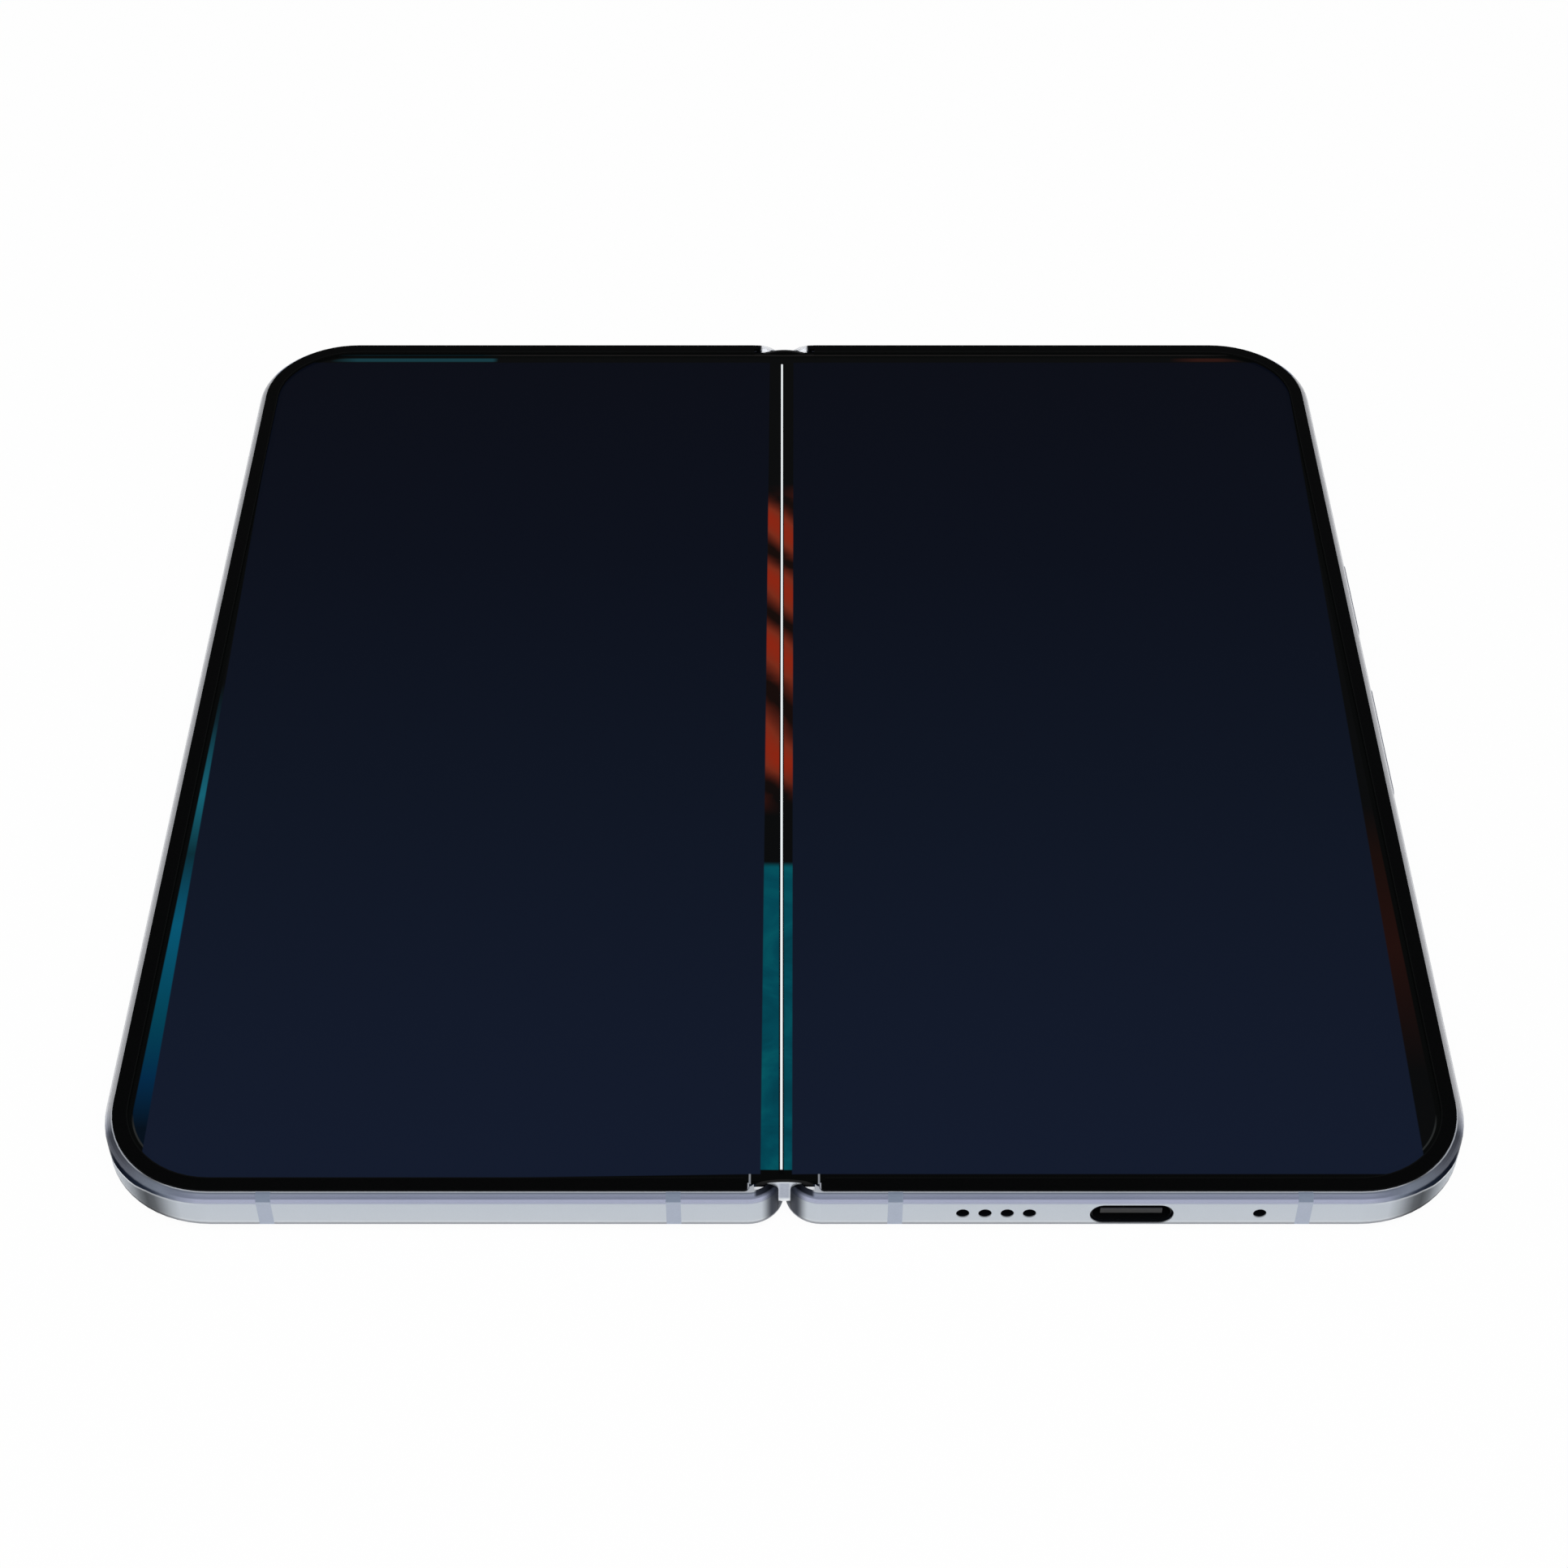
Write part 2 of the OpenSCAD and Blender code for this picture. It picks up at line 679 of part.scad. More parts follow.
module vibration_motor()
    color("#9fa2a6") left() block(parts_in + motor_x, parts_in + motor_x + motor_w, -panel_end + 1,
        -panel_end + 1 + motor_l, board_low - can_t, board_low);

// ---- Right half ----

module island_shape(grow, r, z0, z1)
    rounded_box(island_x, island_y, island_w + 2 * grow, island_l + 2 * grow, r, z0, z1);

module rear_cover()
    color("#b9bec9") difference() {
        back_glass();
        island_shape(seat_gap, island_r, -1, 1);
    }

// Places of the three rear cameras, in a column
module at_camera(n)
    translate([island_x, island_y + n * lens_pitch, 0]) children();

module camera_island()
    color("#a8acb6") difference() {
        union() {
            island_shape(island_lip, island_r + island_lip, -island_h, 0);
            island_shape(0, island_r, -eps, lip_t);
        }
        island_shape(-camera_glass_rim, island_r - camera_glass_rim, -island_h - 1,
            -island_h + camera_glass_t);
        for (n = [-1 : 1]) at_camera(n) translate([0, 0, -2]) cylinder(r = lens_r + seat_gap, h = 4);
        translate([island_x + flash_dx, island_y + lens_pitch / 2, -2])
            cylinder(r = flash_r + seat_gap, h = 4);
    }

module camera_glass()
    color("#0d0e12") difference() {
        island_shape(-camera_glass_rim - seat_gap, island_r - camera_glass_rim - seat_gap,
            -island_h, -island_h + camera_glass_t - eps);
        for (n = [-1 : 1]) at_camera(n) translate([0, 0, -2]) cylinder(r = lens_r + seat_gap, h = 4);
    }

// Camera with a barrel through the glass, whose front narrows to the lens stop
module camera_unit(n)
    color("#1b1d22") at_camera(n) difference() {
        union() {
            translate([0, 0, -island_h + barrel_drop]) cylinder(r = lens_r, h = island_h + 0.8);
            translate([-sensor_w / 2, -sensor_w / 2, lip_t + 0.1])
                cube([sensor_w, sensor_w, bay_top - lip_t - 0.1]);
        }
        translate([0, 0, -island_h + barrel_drop - eps])
            cylinder(r1 = lens_r - lens_rim, r2 = lens_stop, h = lens_depth);
    }

module flash()
    color("#e8e2c8") translate([island_x + flash_dx, island_y + lens_pitch / 2,
        -island_h + camera_glass_t]) cylinder(r = flash_r, h = board_low + island_h - camera_glass_t);

module right_battery()
    color("#26282c") block(parts_in, parts_side, port_board_y + port_board_l + part_gap,
        upper_board_y - part_gap, battery_low, bay_top);

module main_board()
    color("#1d4a35") difference() {
        block(parts_in, bay_side - magnet_t, upper_board_y, bay_end - 1.9, board_low, bay_top);
        for (n = [-1 : 1]) at_camera(n)
            cube([sensor_w + 0.4, sensor_w + 0.4, 3 * half_t], center = true);
        translate([side_x - board_cut, end_y - board_cut, 0]) rotate([0, 0, 45])
            cube([board_cut_w, board_cut_l, 3 * half_t], center = true);
    }

module shield_cans()
    color("#b4b7bb") for (y = [upper_board_y + part_gap, upper_board_y + part_gap + can_l + can_space])
        block(parts_in + 2, island_x - sensor_w / 2 - 8, y, y + can_l, board_low - can_t, board_low);

module port_board()
    color("#1d4a35") block(usb_x - 3.7, parts_side, port_board_y, port_board_y + port_board_l,
        board_low, bay_top);

module usb_c_shell()
    color("#a3a6ab") translate([usb_x, -end_y + shell_front + shell_l, shell_z])
        rotate([90, 0, 0]) linear_extrude(shell_l) difference() {
            stadium(shell_w, shell_h);
            stadium(shell_w - 2 * shell_wall, shell_h - 2 * shell_wall);
        }

module usb_c_tongue()
    color("#2b2b2e") {
        block(usb_x - tongue_w / 2, usb_x + tongue_w / 2, -end_y + tongue_front,
            -end_y + shell_front + shell_l, shell_z - tongue_t / 2, shell_z + tongue_t / 2);
        translate([usb_x, -end_y + shell_front + shell_l, shell_z]) rotate([90, 0, 0])
            linear_extrude(1) stadium(shell_w - 0.02 - 2 * shell_wall, shell_h - 0.02 - 2 * shell_wall);
    }

module loudspeaker()
    color("#2a2c30") block(speaker_x - speaker_before, usb_x - speaker_after, -bay_end,
        -bay_end + speaker_l, lip_t + air_gap, bay_top);

// One microphone is behind the near wall's hole and one behind the far wall's
module microphones()
    color("#8f9296") {
        block(mic_x - mic_w / 2, mic_x + mic_w / 2, -bay_end, -bay_end + mic_l, mic_low, bay_top);
        block(far_mic_x - mic_w / 2, far_mic_x + mic_w / 2, bay_end - 1.85, bay_end, mic_low, bay_top);
    }

// Stadium-shaped bar along X at a key's place
module key_bar(l, h, y, x0, x1)
    translate([x0, y, key_z]) rotate([90, 0, 90]) linear_extrude(x1 - x0) stadium(l, h);

module key_slot(l, y) {
    key_bar(l + 2 * move_gap, key_h + 2 * move_gap, y, side_x - side_wall, side_x + 1);
    key_bar(l + 2 * (key_flange_rim + move_gap), key_h + 2 * (key_flange_rim + move_gap), y,
        bay_side - 1, side_x - key_shoulder);
}

module key(l, y, shoulder_gap, tips, tip_gap)
    color("#b4b9c6") {
        key_bar(l, key_h, y, side_x - key_shoulder - shoulder_gap - eps, side_x + key_out);
        key_bar(l + 2 * key_flange_rim, key_h + 2 * key_flange_rim, y,
            side_x - key_shoulder - shoulder_gap - key_flange_t, side_x - key_shoulder - shoulder_gap);
        for (t = tips) translate([bay_side + switch_out + tip_gap, y + t, key_z])
            rotate([0, 90, 0]) cylinder(r = 0.5, h = 0.7);
    }

module power_key() key(power_l, power_y, 0.02, [0], key_travel + seat_gap);

module volume_rocker() {
    key(volume_l, volume_y, rocker_gap, [-1, 1] * rocker_arm, rocker_gap - key_travel / 2);
    // Rib along the axis that the rocker tips about
    color("#b4b9c6") translate([rocker_axis_x, volume_y, key_z - key_h / 2])
        cylinder(r = 0.3, h = key_h);
}

module key_switches()
    color("#c9b27a") for (y = [power_y, volume_y - rocker_arm, volume_y + rocker_arm])
        block(bay_side - 0.9, bay_side + switch_out, y - 1.8, y + 1.8, 1.1, bay_top);

module right_ports() {
    translate([usb_x, -bay_end + 1, usb_z]) rotate([90, 0, 0]) linear_extrude(bay_wall + 2)
        stadium(usb_w, usb_h);
    for (i = [0 : speaker_holes - 1])
        bar_y(speaker_x + i * speaker_pitch, hole_z, port_hole_r, -end_y - 1, -bay_end + 0.5);
    bar_y(mic_x, hole_z, port_hole_r, -end_y - 1, -bay_end + 0.5);
    bar_y(far_mic_x, hole_z, far_mic_r, bay_end - 0.5, end_y + 1);
    key_slot(power_l, power_y);
    key_slot(volume_l, volume_y);
}

module left_frame()
    color("#bcc3cd") left() difference() {
        half_solid();
        break_slots();
    }

module right_frame()
    color("#bcc3cd") difference() {
        half_solid();
        break_slots();
        right_ports();
    }

place() left_frame();
place() left() antenna_breaks();  // left_antenna_breaks
place() left() bezel();  // left_bezel
place() left() flat_display();  // left_display
place() cover_screen_glass();
place() cover_screen_panel();
place() cover_camera();
place() earpiece();
place() left_battery();
place() left_board();
place() vibration_motor();
place() left() magnets();  // left_magnets
place() left() wing(-wing_y);  // left_wing_near
place() left() wing(wing_y);  // left_wing_far
place() left() wing_screws();  // left_wing_screws
place() left() shaft();  // left_shaft
place() left() main_gear(half_tooth);  // left_gear
place() left() idler_gear(0);  // left_idler_gear
place() left() support_plate();  // left_support_plate
place() hinge_cover();
place() hinge_base();
place() mirror([0, 1, 0]) hinge_cap();  // hinge_cap_near
place() hinge_cap();  // hinge_cap_far
place() centre_plate();  // hinge_centre_plate
place() hinge_screws();
place() disc_springs();
place() fold_display();
place() right_frame();
place() antenna_breaks();  // right_antenna_breaks
place() bezel();  // right_bezel
place() flat_display();  // right_display
place() rear_cover();
place() camera_island();
place() camera_glass();
place() camera_unit(1);  // camera_main
place() camera_unit(0);  // camera_wide
place() camera_unit(-1);  // camera_tele
place() flash();
place() right_battery();
place() main_board();
place() shield_cans();
place() port_board();
place() usb_c_shell();
place() usb_c_tongue();
place() loudspeaker();
place() microphones();
place() key_switches();
place() magnets();  // right_magnets
place() wing(-wing_y);  // right_wing_near
place() wing(wing_y);  // right_wing_far
place() wing_screws();  // right_wing_screws
place() shaft();  // right_shaft
place() main_gear(0);  // right_gear
place() idler_gear(half_tooth);  // right_idler_gear
place() support_plate();  // right_support_plate
place() power_key();
place() volume_rocker();
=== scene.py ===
import bpy
import bmesh
import math
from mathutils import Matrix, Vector


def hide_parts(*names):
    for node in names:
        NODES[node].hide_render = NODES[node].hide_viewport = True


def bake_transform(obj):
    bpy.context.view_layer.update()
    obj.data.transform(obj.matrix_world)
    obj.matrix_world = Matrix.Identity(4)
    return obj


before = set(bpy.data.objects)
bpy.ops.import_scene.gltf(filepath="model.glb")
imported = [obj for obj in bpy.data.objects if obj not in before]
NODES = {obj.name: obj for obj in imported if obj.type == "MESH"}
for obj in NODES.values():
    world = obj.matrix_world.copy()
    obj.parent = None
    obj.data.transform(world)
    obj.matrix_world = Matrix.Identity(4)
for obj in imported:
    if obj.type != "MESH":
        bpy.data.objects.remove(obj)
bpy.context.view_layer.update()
MM = 0.001

# ---- Sizes and places of the open phone, in mm from the middle of the fold ----

def box(name):
    """Lowest and highest corner of a CAD node, to 0.01 mm."""
    node = NODES[name]
    points = [node.matrix_world @ v.co for v in node.data.vertices]
    return [[round(pick(p[i] for p in points) / MM, 2) for i in range(3)] for pick in (min, max)]


def middle(name):
    """Middle of a CAD node's box."""
    return [round((low + high) / 2, 3) for low, high in zip(*box(name))]


FRAME_LOW, FRAME_HIGH = box("left_frame")
SIDE_X, END_Y = -FRAME_LOW[0], FRAME_HIGH[1]
FOOT_Z, RIM_Z = FRAME_LOW[2], FRAME_HIGH[2]
SHAFT_X, _, SHAFT_Z = middle("right_shaft")
CAP_FACE_Y = box("hinge_cap_far")[1][1]
BEZEL_END, _, BEZEL_FOOT = box("right_bezel")[0]
PORT_X = middle("usb_c_tongue")[0]
TONGUE_Y = box("usb_c_tongue")[0][1]
LENSES = [middle(name)[:2] for name in ("camera_tele", "camera_wide", "camera_main")]
FLASH = middle("flash")[:2]
COVER_EYE = middle("cover_camera")[:2]

# What the looks need besides: the body's corner radius, the ledges and the pocket beside the hinge's ends,
# the height where the wall's foot has rounded off, and the middle of the cover screen
CORNER_R = 13.0
LEDGE_X, LEDGE_Y, LEDGE_Z = 3.32, 75.66, 5.65
POCKET_X, POCKET_Y = 4.5, 75.74
WALL_FOOT = 1.7
COVER_X = -40.9


# ---- Helpers for node trees ----

def rgb(r, g, b):
    """An sRGB colour of 0 to 255 as linear RGBA."""
    def lin(c):
        c /= 255
        return c / 12.92 if c <= 0.04045 else ((c + 0.055) / 1.055) ** 2.4
    return (lin(r), lin(g), lin(b), 1.0)


def grey(value):
    return (value, value, value, 1.0)


def shade(colour, amount):
    """The colour made lighter or darker by a share."""
    return tuple(min(1.0, c * (1 + amount)) for c in colour[:3]) + (1.0,)


class Nodes:
    """A node tree and the steps that looks are built from. A value is a number, a colour or a socket."""

    def __init__(self, tree):
        self.tree = tree

    def add(self, kind, **props):
        node = self.tree.nodes.new("ShaderNode" + kind)
        for key, value in props.items():
            setattr(node, key, value)
        return node

    def put(self, socket, value):
        if isinstance(value, bpy.types.NodeSocket):
            self.tree.links.new(value, socket)
        else:
            socket.default_value = value

    def axes(self, vector):
        """The three parts of a vector."""
        node = self.add("SeparateXYZ")
        self.put(node.inputs[0], vector)
        return node.outputs

    def math(self, op, a, b=0.0):
        node = self.add("Math", operation=op)
        self.put(node.inputs[0], a)
        self.put(node.inputs[1], b)
        return node.outputs[0]

    def chain(self, op, values):
        result = values[0]
        for value in values[1:]:
            result = self.math(op, result, value)
        return result

    def times(self, *values):
        return self.chain("MULTIPLY", values)

    def plus(self, *values):
        return self.chain("ADD", values)

    def most(self, *values):
        return self.chain("MAXIMUM", values)

    def minus(self, a, b):
        return self.math("SUBTRACT", a, b)

    def size(self, value):
        return self.math("ABSOLUTE", value)

    def length(self, a, b):
        """Length of a vector with the parts a and b."""
        return self.math("SQRT", self.plus(self.times(a, a), self.times(b, b)))

    def span(self, value, low, high, to_low=0.0, to_high=1.0, smooth=False):
        """The value's place between low and high, from to_low to to_high."""
        node = self.add("MapRange", interpolation_type="SMOOTHSTEP" if smooth else "LINEAR")
        self.put(node.inputs["Value"], value)
        for key, v in (("From Min", low), ("From Max", high), ("To Min", to_low), ("To Max", to_high)):
            node.inputs[key].default_value = v
        return node.outputs["Result"]

    def below(self, value, limit, soft=0.04):
        """1 where the value is below the limit, 0 where it is above."""
        return self.span(value, limit + soft, limit - soft)

    def above(self, value, limit, soft=0.04):
        return self.span(value, limit - soft, limit + soft)

    def between(self, value, low, high, soft=0.04):
        return self.times(self.above(value, low, soft), self.below(value, high, soft))

    def ramp(self, value, stops):
        """A colour from stops of (position, colour)."""
        node = self.add("ValToRGB")
        ends = node.color_ramp.elements
        ends[0].position, ends[0].color = stops[0]
        ends[1].position, ends[1].color = stops[-1]
        for position, colour in stops[1:-1]:
            ends.new(position).color = colour
        self.put(node.inputs["Fac"], value)
        return node.outputs["Color"]

    def mix(self, share, a, b, blend="MIX"):
        node = self.add("Mix", data_type="RGBA", blend_type=blend)
        self.put(node.inputs["Factor"], share)
        self.put(node.inputs[6], a)
        self.put(node.inputs[7], b)
        return node.outputs[2]


class Look(Nodes):
    """A material on the Principled shader."""

    def __init__(self, name, **sockets):
        self.mat = bpy.data.materials.new(name)
        self.mat.use_nodes = True
        super().__init__(self.mat.node_tree)
        self.bsdf = self.tree.nodes["Principled BSDF"]
        for key, value in sockets.items():
            self.to(key.replace("_", " "), value)

    def to(self, name, value):
        self.put(self.bsdf.inputs[name], value)

    def coords(self, scale=(1, 1, 1)):
        """Object coordinates in metres."""
        mapping = self.add("Mapping")
        mapping.inputs["Scale"].default_value = scale
        self.put(mapping.inputs["Vector"], self.add("TexCoord").outputs["Object"])
        return mapping.outputs["Vector"]

    def noise(self, scale, detail=4.0, rough=0.55, vector=None, distortion=0.0):
        node = self.add("TexNoise")
        for key, value in (("Scale", scale), ("Detail", detail), ("Roughness", rough),
                           ("Distortion", distortion)):
            node.inputs[key].default_value = value
        self.put(node.inputs["Vector"], vector or self.coords())
        return node.outputs["Fac"]

    def bump(self, height, strength=0.1, distance=0.0001):
        node = self.add("Bump")
        node.inputs["Strength"].default_value = strength
        node.inputs["Distance"].default_value = distance
        self.put(node.inputs["Height"], height)
        self.to("Normal", node.outputs["Normal"])

    def away(self, spots):
        """Distance in mm to the nearest of the spots, given as (x, y) in mm."""
        out = self.axes(self.coords())
        near = None
        for x, y in spots:
            r = self.length(self.minus(out["X"], x * MM), self.minus(out["Y"], y * MM))
            near = r if near is None else self.math("MINIMUM", near, r)
        return self.times(near, 1000)


class Place:
    """Where a point is, in mm: x and y without their sign, z, back (y with its sign), and at the body's
    corners qx and qy, the way into the corner, and far, the distance from the middle of its arc."""

    def __init__(self, look):
        out = look.axes(look.coords())
        self.x = look.times(look.size(out["X"]), 1000)
        self.y = look.times(look.size(out["Y"]), 1000)
        self.z = look.times(out["Z"], 1000)
        self.back = look.times(out["Y"], 1000)
        self.qx = look.most(look.minus(self.x, SIDE_X - CORNER_R), 0.0)
        self.qy = look.most(look.minus(self.y, END_Y - CORNER_R), 0.0)
        self.far = look.length(self.qx, self.qy)


# ---- Metal of the two half frames ----

# Colours of the wall and its roundings, by height in mm: the wall's own colour, with painted reflections and
# painted highlight lines as bands on the foot chamfer and the polished upper rounding
FRAME_BANDS = [
    (1.15, rgb(188, 194, 203)), (1.21, rgb(188, 194, 203)), (1.25, rgb(150, 153, 160)),
    (1.74, rgb(152, 155, 160)), (1.95, rgb(206, 211, 216)), (2.2, rgb(192, 198, 205)),
    (4.98, rgb(189, 196, 204)), (5.1, rgb(160, 165, 184)), (5.55, rgb(160, 165, 188)),
    (5.72, rgb(130, 136, 158)), (5.86, rgb(140, 147, 170)), (5.95, rgb(150, 157, 178)),
    (6.0, rgb(136, 144, 162)), (6.03, rgb(116, 126, 144)), (6.04, rgb(222, 227, 236)),
]


def painted_corner_reflections(look, at, col):
    """Painted reflections: light and dark bands where the wall turns round the near outer corners, and a mask
    of the dark ones.
    """
    # The turn runs from -1 in front to 1 at the side
    turn = look.math("DIVIDE", look.minus(at.qx, at.qy), look.plus(at.qx, at.qy, 0.01))
    near = look.times(look.above(at.qx, 0.2, 0.2), look.above(at.qy, 0.2, 0.2), look.below(at.back, -62, 2))

    def over_turn(stops):
        """A value that changes with the turn, from stops of (turn, value)."""
        return look.ramp(look.span(turn, -1, 1), [((t + 1) / 2, grey(v)) for t, v in stops])

    # Painted shade that darkens the wall as it turns round the corner
    shadow = over_turn([(-1, 0), (-0.6, 0.05), (-0.49, 0.28), (-0.4, 0.55), (-0.31, 0.78), (-0.22, 0.84),
                        (-0.14, 0.72), (-0.07, 0.52), (0.02, 0.3), (0.11, 0.15), (0.3, 0), (1, 0)])
    shadow = look.times(shadow, near)
    col = look.mix(shadow, col, rgb(0, 0, 0))
    # The painted dark line of reflection starts at the wall's upper edge and dips towards the side
    dip = over_turn([(-1, 0), (-0.42, 0), (-0.22, 0.12), (-0.07, 0.44), (0.11, 0.6), (0.28, 0.9), (1, 0.9)])
    lift = look.plus(at.z, look.times(dip, 1.5))
    over_edge = look.above(lift, 5.05)
    # Painted highlight just under the wall's upper edge
    glint = look.times(near, look.above(lift, 4.75, 0.1), look.below(lift, 5.02, 0.05),
                       over_turn([(-1, 0), (-0.4, 0.3), (-0.1, 0.5), (0.1, 1), (0.3, 1), (0.5, 0), (1, 0)]))
    col = look.mix(glint, col, rgb(226, 229, 234))
    # Painted reflection tones on the rounding above the edge
    upper = look.times(near, over_edge, look.below(at.z, 6.035, 0.01),
                       over_turn([(-1, 0), (-0.85, 0), (-0.49, 1), (0.45, 1), (0.8, 0), (1, 0)]))
    tone = look.ramp(look.span(turn, -0.6, 0.4), [(0.0, rgb(120, 127, 144)), (0.3, rgb(103, 110, 122)),
                                                  (0.7, rgb(84, 87, 97)), (1.0, rgb(76, 79, 88))])
    col = look.mix(upper, col, tone)
    line = look.times(near, over_edge, look.below(at.z, 5.45, 0.1),
                      over_turn([(-1, 0), (-0.6, 0), (-0.44, 0.7), (-0.3, 1), (0.22, 1), (0.38, 0), (1, 0)]))
    tone = look.ramp(look.span(turn, -0.5, 0.3), [(0.0, rgb(92, 100, 114)), (0.2, rgb(46, 52, 66)),
                                                  (0.4, rgb(26, 33, 46)), (0.8, rgb(14, 19, 30)),
                                                  (1.0, rgb(34, 38, 48))])
    return look.mix(line, col, tone), look.most(line, shadow)


def fold_ends(look, at, col):
    """Shadows and lights on the frame's corners beside the fold, and a mask of where it doesn't shine."""
    # Painted shade on the wall deep in the corners beside the fold
    deep = look.times(look.span(at.x, 2.6, 1.3, smooth=True), look.above(at.z, WALL_FOOT))
    col = look.mix(look.times(deep, 0.96), col, rgb(40, 45, 57))
    # Painted highlight: the ledges are white where they face up
    up = look.span(look.axes(look.add("TexCoord").outputs["Normal"])["Z"], 0.93, 0.98)
    ledge = look.times(look.below(at.x, LEDGE_X), look.above(at.y, LEDGE_Y),
                       look.between(at.z, LEDGE_Z - 0.07, LEDGE_Z + 0.07), up)
    col = look.mix(ledge, col, rgb(244, 246, 250))
    # Painted shade: in front, the edge above a ledge is dark
    step = look.times(look.span(at.x, 3.3, 3.0), look.above(at.z, 5.8, 0.08), look.below(at.back, 0, 1))
    tone = look.ramp(look.span(at.x, 1.6, 3.1), [(0.0, rgb(12, 14, 20)), (1.0, rgb(52, 56, 68))])
    col = look.mix(step, col, tone)
    # Behind, a painted highlight makes the rim pale by the fold, and painted shade makes it black at the
    # bezel's ends
    rear = look.times(look.below(at.x, 4.1), look.above(at.back, 75.8, 0.1), look.above(at.z, 5.0))
    tone = look.mix(look.above(at.x, 3.3, 0.12), rgb(244, 246, 250), rgb(10, 11, 13))
    return look.mix(rear, col, tone), look.most(ledge, rear)


def shaded_openings(look, at):
    """Mask of painted shade on the reliefs round the shafts, the pocket for the hinge and the insides of the
    holes.
    """
    r = look.length(look.minus(at.x, SHAFT_X), look.minus(at.z, SHAFT_Z))
    relief = look.times(look.above(r, 1.87, 0.02), look.below(at.x, SHAFT_X), look.above(at.z, 4.4))
    pocket = look.times(look.below(at.y, POCKET_Y, 0.02), look.below(at.x, POCKET_X),
                        look.above(at.z, WALL_FOOT))
    floor = look.times(look.below(at.y, 76.1), look.between(at.x, LEDGE_X + 0.02, POCKET_X),
                       look.between(at.z, WALL_FOOT, 5.6))
    wall = look.times(look.below(at.y, END_Y - 0.12, 0.03), look.below(at.x, SIDE_X - 0.12, 0.03),
                      look.above(at.x, POCKET_X), look.between(at.z, 1.5, 5.0, 0.02))
    corner = look.times(look.above(at.x, 61.8), look.above(at.y, 64.3))
    return look.most(relief, pocket, floor, look.times(wall, look.minus(1.0, corner)))


def frame_metal():
    """Satin wall with a polished rounding along its upper edge, painted reflections and highlights on its
    roundings and near corners, and painted shade in the holes and hinge ends.
    """
    look = Look("frame_metal", Specular_IOR_Level=0.0)
    at = Place(look)
    low, high = FOOT_Z - 0.05, RIM_Z + 0.01
    bands = [((height - low) / (high - low), colour) for height, colour in FRAME_BANDS]
    col = look.ramp(look.span(at.z, low, high), bands)
    fine = look.noise(7000, 4, 0.6)
    cloud = look.noise(45, 3, 0.5)
    col = look.mix(look.span(fine, 0.3, 0.7, 0.0, 0.06), col, rgb(120, 124, 136))
    col = look.mix(look.span(cloud, 0.35, 0.65, 0.0, 0.05), col, rgb(216, 222, 232))
    col, dim = painted_corner_reflections(look, at, col)
    # Painted highlight: the rim along the two sides is lighter
    side = look.times(look.above(at.x, 73.5, 0.3), look.above(at.back, -66.75, 1.75),
                      look.span(at.z, 5.05, 5.4), look.below(at.z, 6.046, 0.004))
    col = look.mix(side, col, rgb(206, 207, 211))
    col, flat = fold_ends(look, at, col)
    dark = shaded_openings(look, at)
    # Painted shade: the holes, the pocket and the reliefs are near black
    col = look.mix(dark, col, look.ramp(fine, [(0.3, rgb(7, 8, 11)), (0.7, rgb(15, 17, 22))]))
    look.to("Base Color", col)
    look.to("Metallic", look.span(look.most(flat, dark, dim), 0, 0.6, 0.55, 0.0))
    polish = look.span(at.z, 5.05, 5.35, 0.40, 0.24)
    look.to("Roughness", look.plus(polish, look.span(cloud, 0.3, 0.7, -0.03, 0.03)))
    look.bump(fine, 0.05, 0.00003)
    return look


# ---- The other looks ----

def plain(name, colour, rough=0.45, metal=0.0, grain=2500.0, tint=0.06, rough_var=0.06, bump=0.06,
          stretch=(1, 1, 1), **sockets):
    """Base look: colour and roughness that vary with a fine grain, and a light bump."""
    look = Look(name, Metallic=metal, **sockets)
    fine = look.noise(grain, 5, 0.6, look.coords(stretch))
    broad = look.noise(70, 3, 0.5)
    both = look.plus(look.times(fine, 0.5), look.times(broad, 0.5))
    look.to("Base Color", look.ramp(both, [(0.3, shade(colour, -tint)), (0.7, shade(colour, tint))]))
    look.to("Roughness", look.span(both, 0.3, 0.7, rough - rough_var, rough + rough_var))
    look.bump(fine, bump, 0.00004)
    return look


def key_metal():
    """Keys, anodised like the frame."""
    return plain("key_metal", rgb(168, 173, 188), 0.3, 0.7, 6000, 0.05, 0.04, 0.04)


def island_metal():
    """Camera island, of the same metal as the frame."""
    look = Look("island_metal", Metallic=0.7)
    fine = look.noise(6000, 4, 0.6)
    look.to("Base Color", look.ramp(fine, [(0.3, rgb(160, 166, 178)), (0.7, rgb(176, 181, 192))]))
    look.to("Roughness", look.span(fine, 0.3, 0.7, 0.26, 0.36))
    look.bump(fine, 0.05, 0.00003)
    return look


def break_plastic():
    """Antenna break: lilac-grey plastic on the wall, with painted reflections like the metal's on the
    rounding and a painted highlight along its top edge.
    """
    look = Look("break_plastic")
    fine = look.noise(4500, 4, 0.6)
    col = look.ramp(fine, [(0.3, rgb(154, 162, 178)), (0.7, rgb(161, 169, 185))])
    z = look.times(look.axes(look.coords())["Z"], 1000)
    # Painted reflection on the rounding, and a painted highlight line along the top edge
    col = look.mix(look.span(z, 5.2, 5.4), col, rgb(112, 123, 141))
    col = look.mix(look.span(z, 6.04, 6.05), col, rgb(190, 196, 206))
    look.to("Base Color", col)
    look.to("Roughness", look.span(fine, 0.3, 0.7, 0.45, 0.55))
    look.bump(fine, 0.06, 0.00003)
    return look


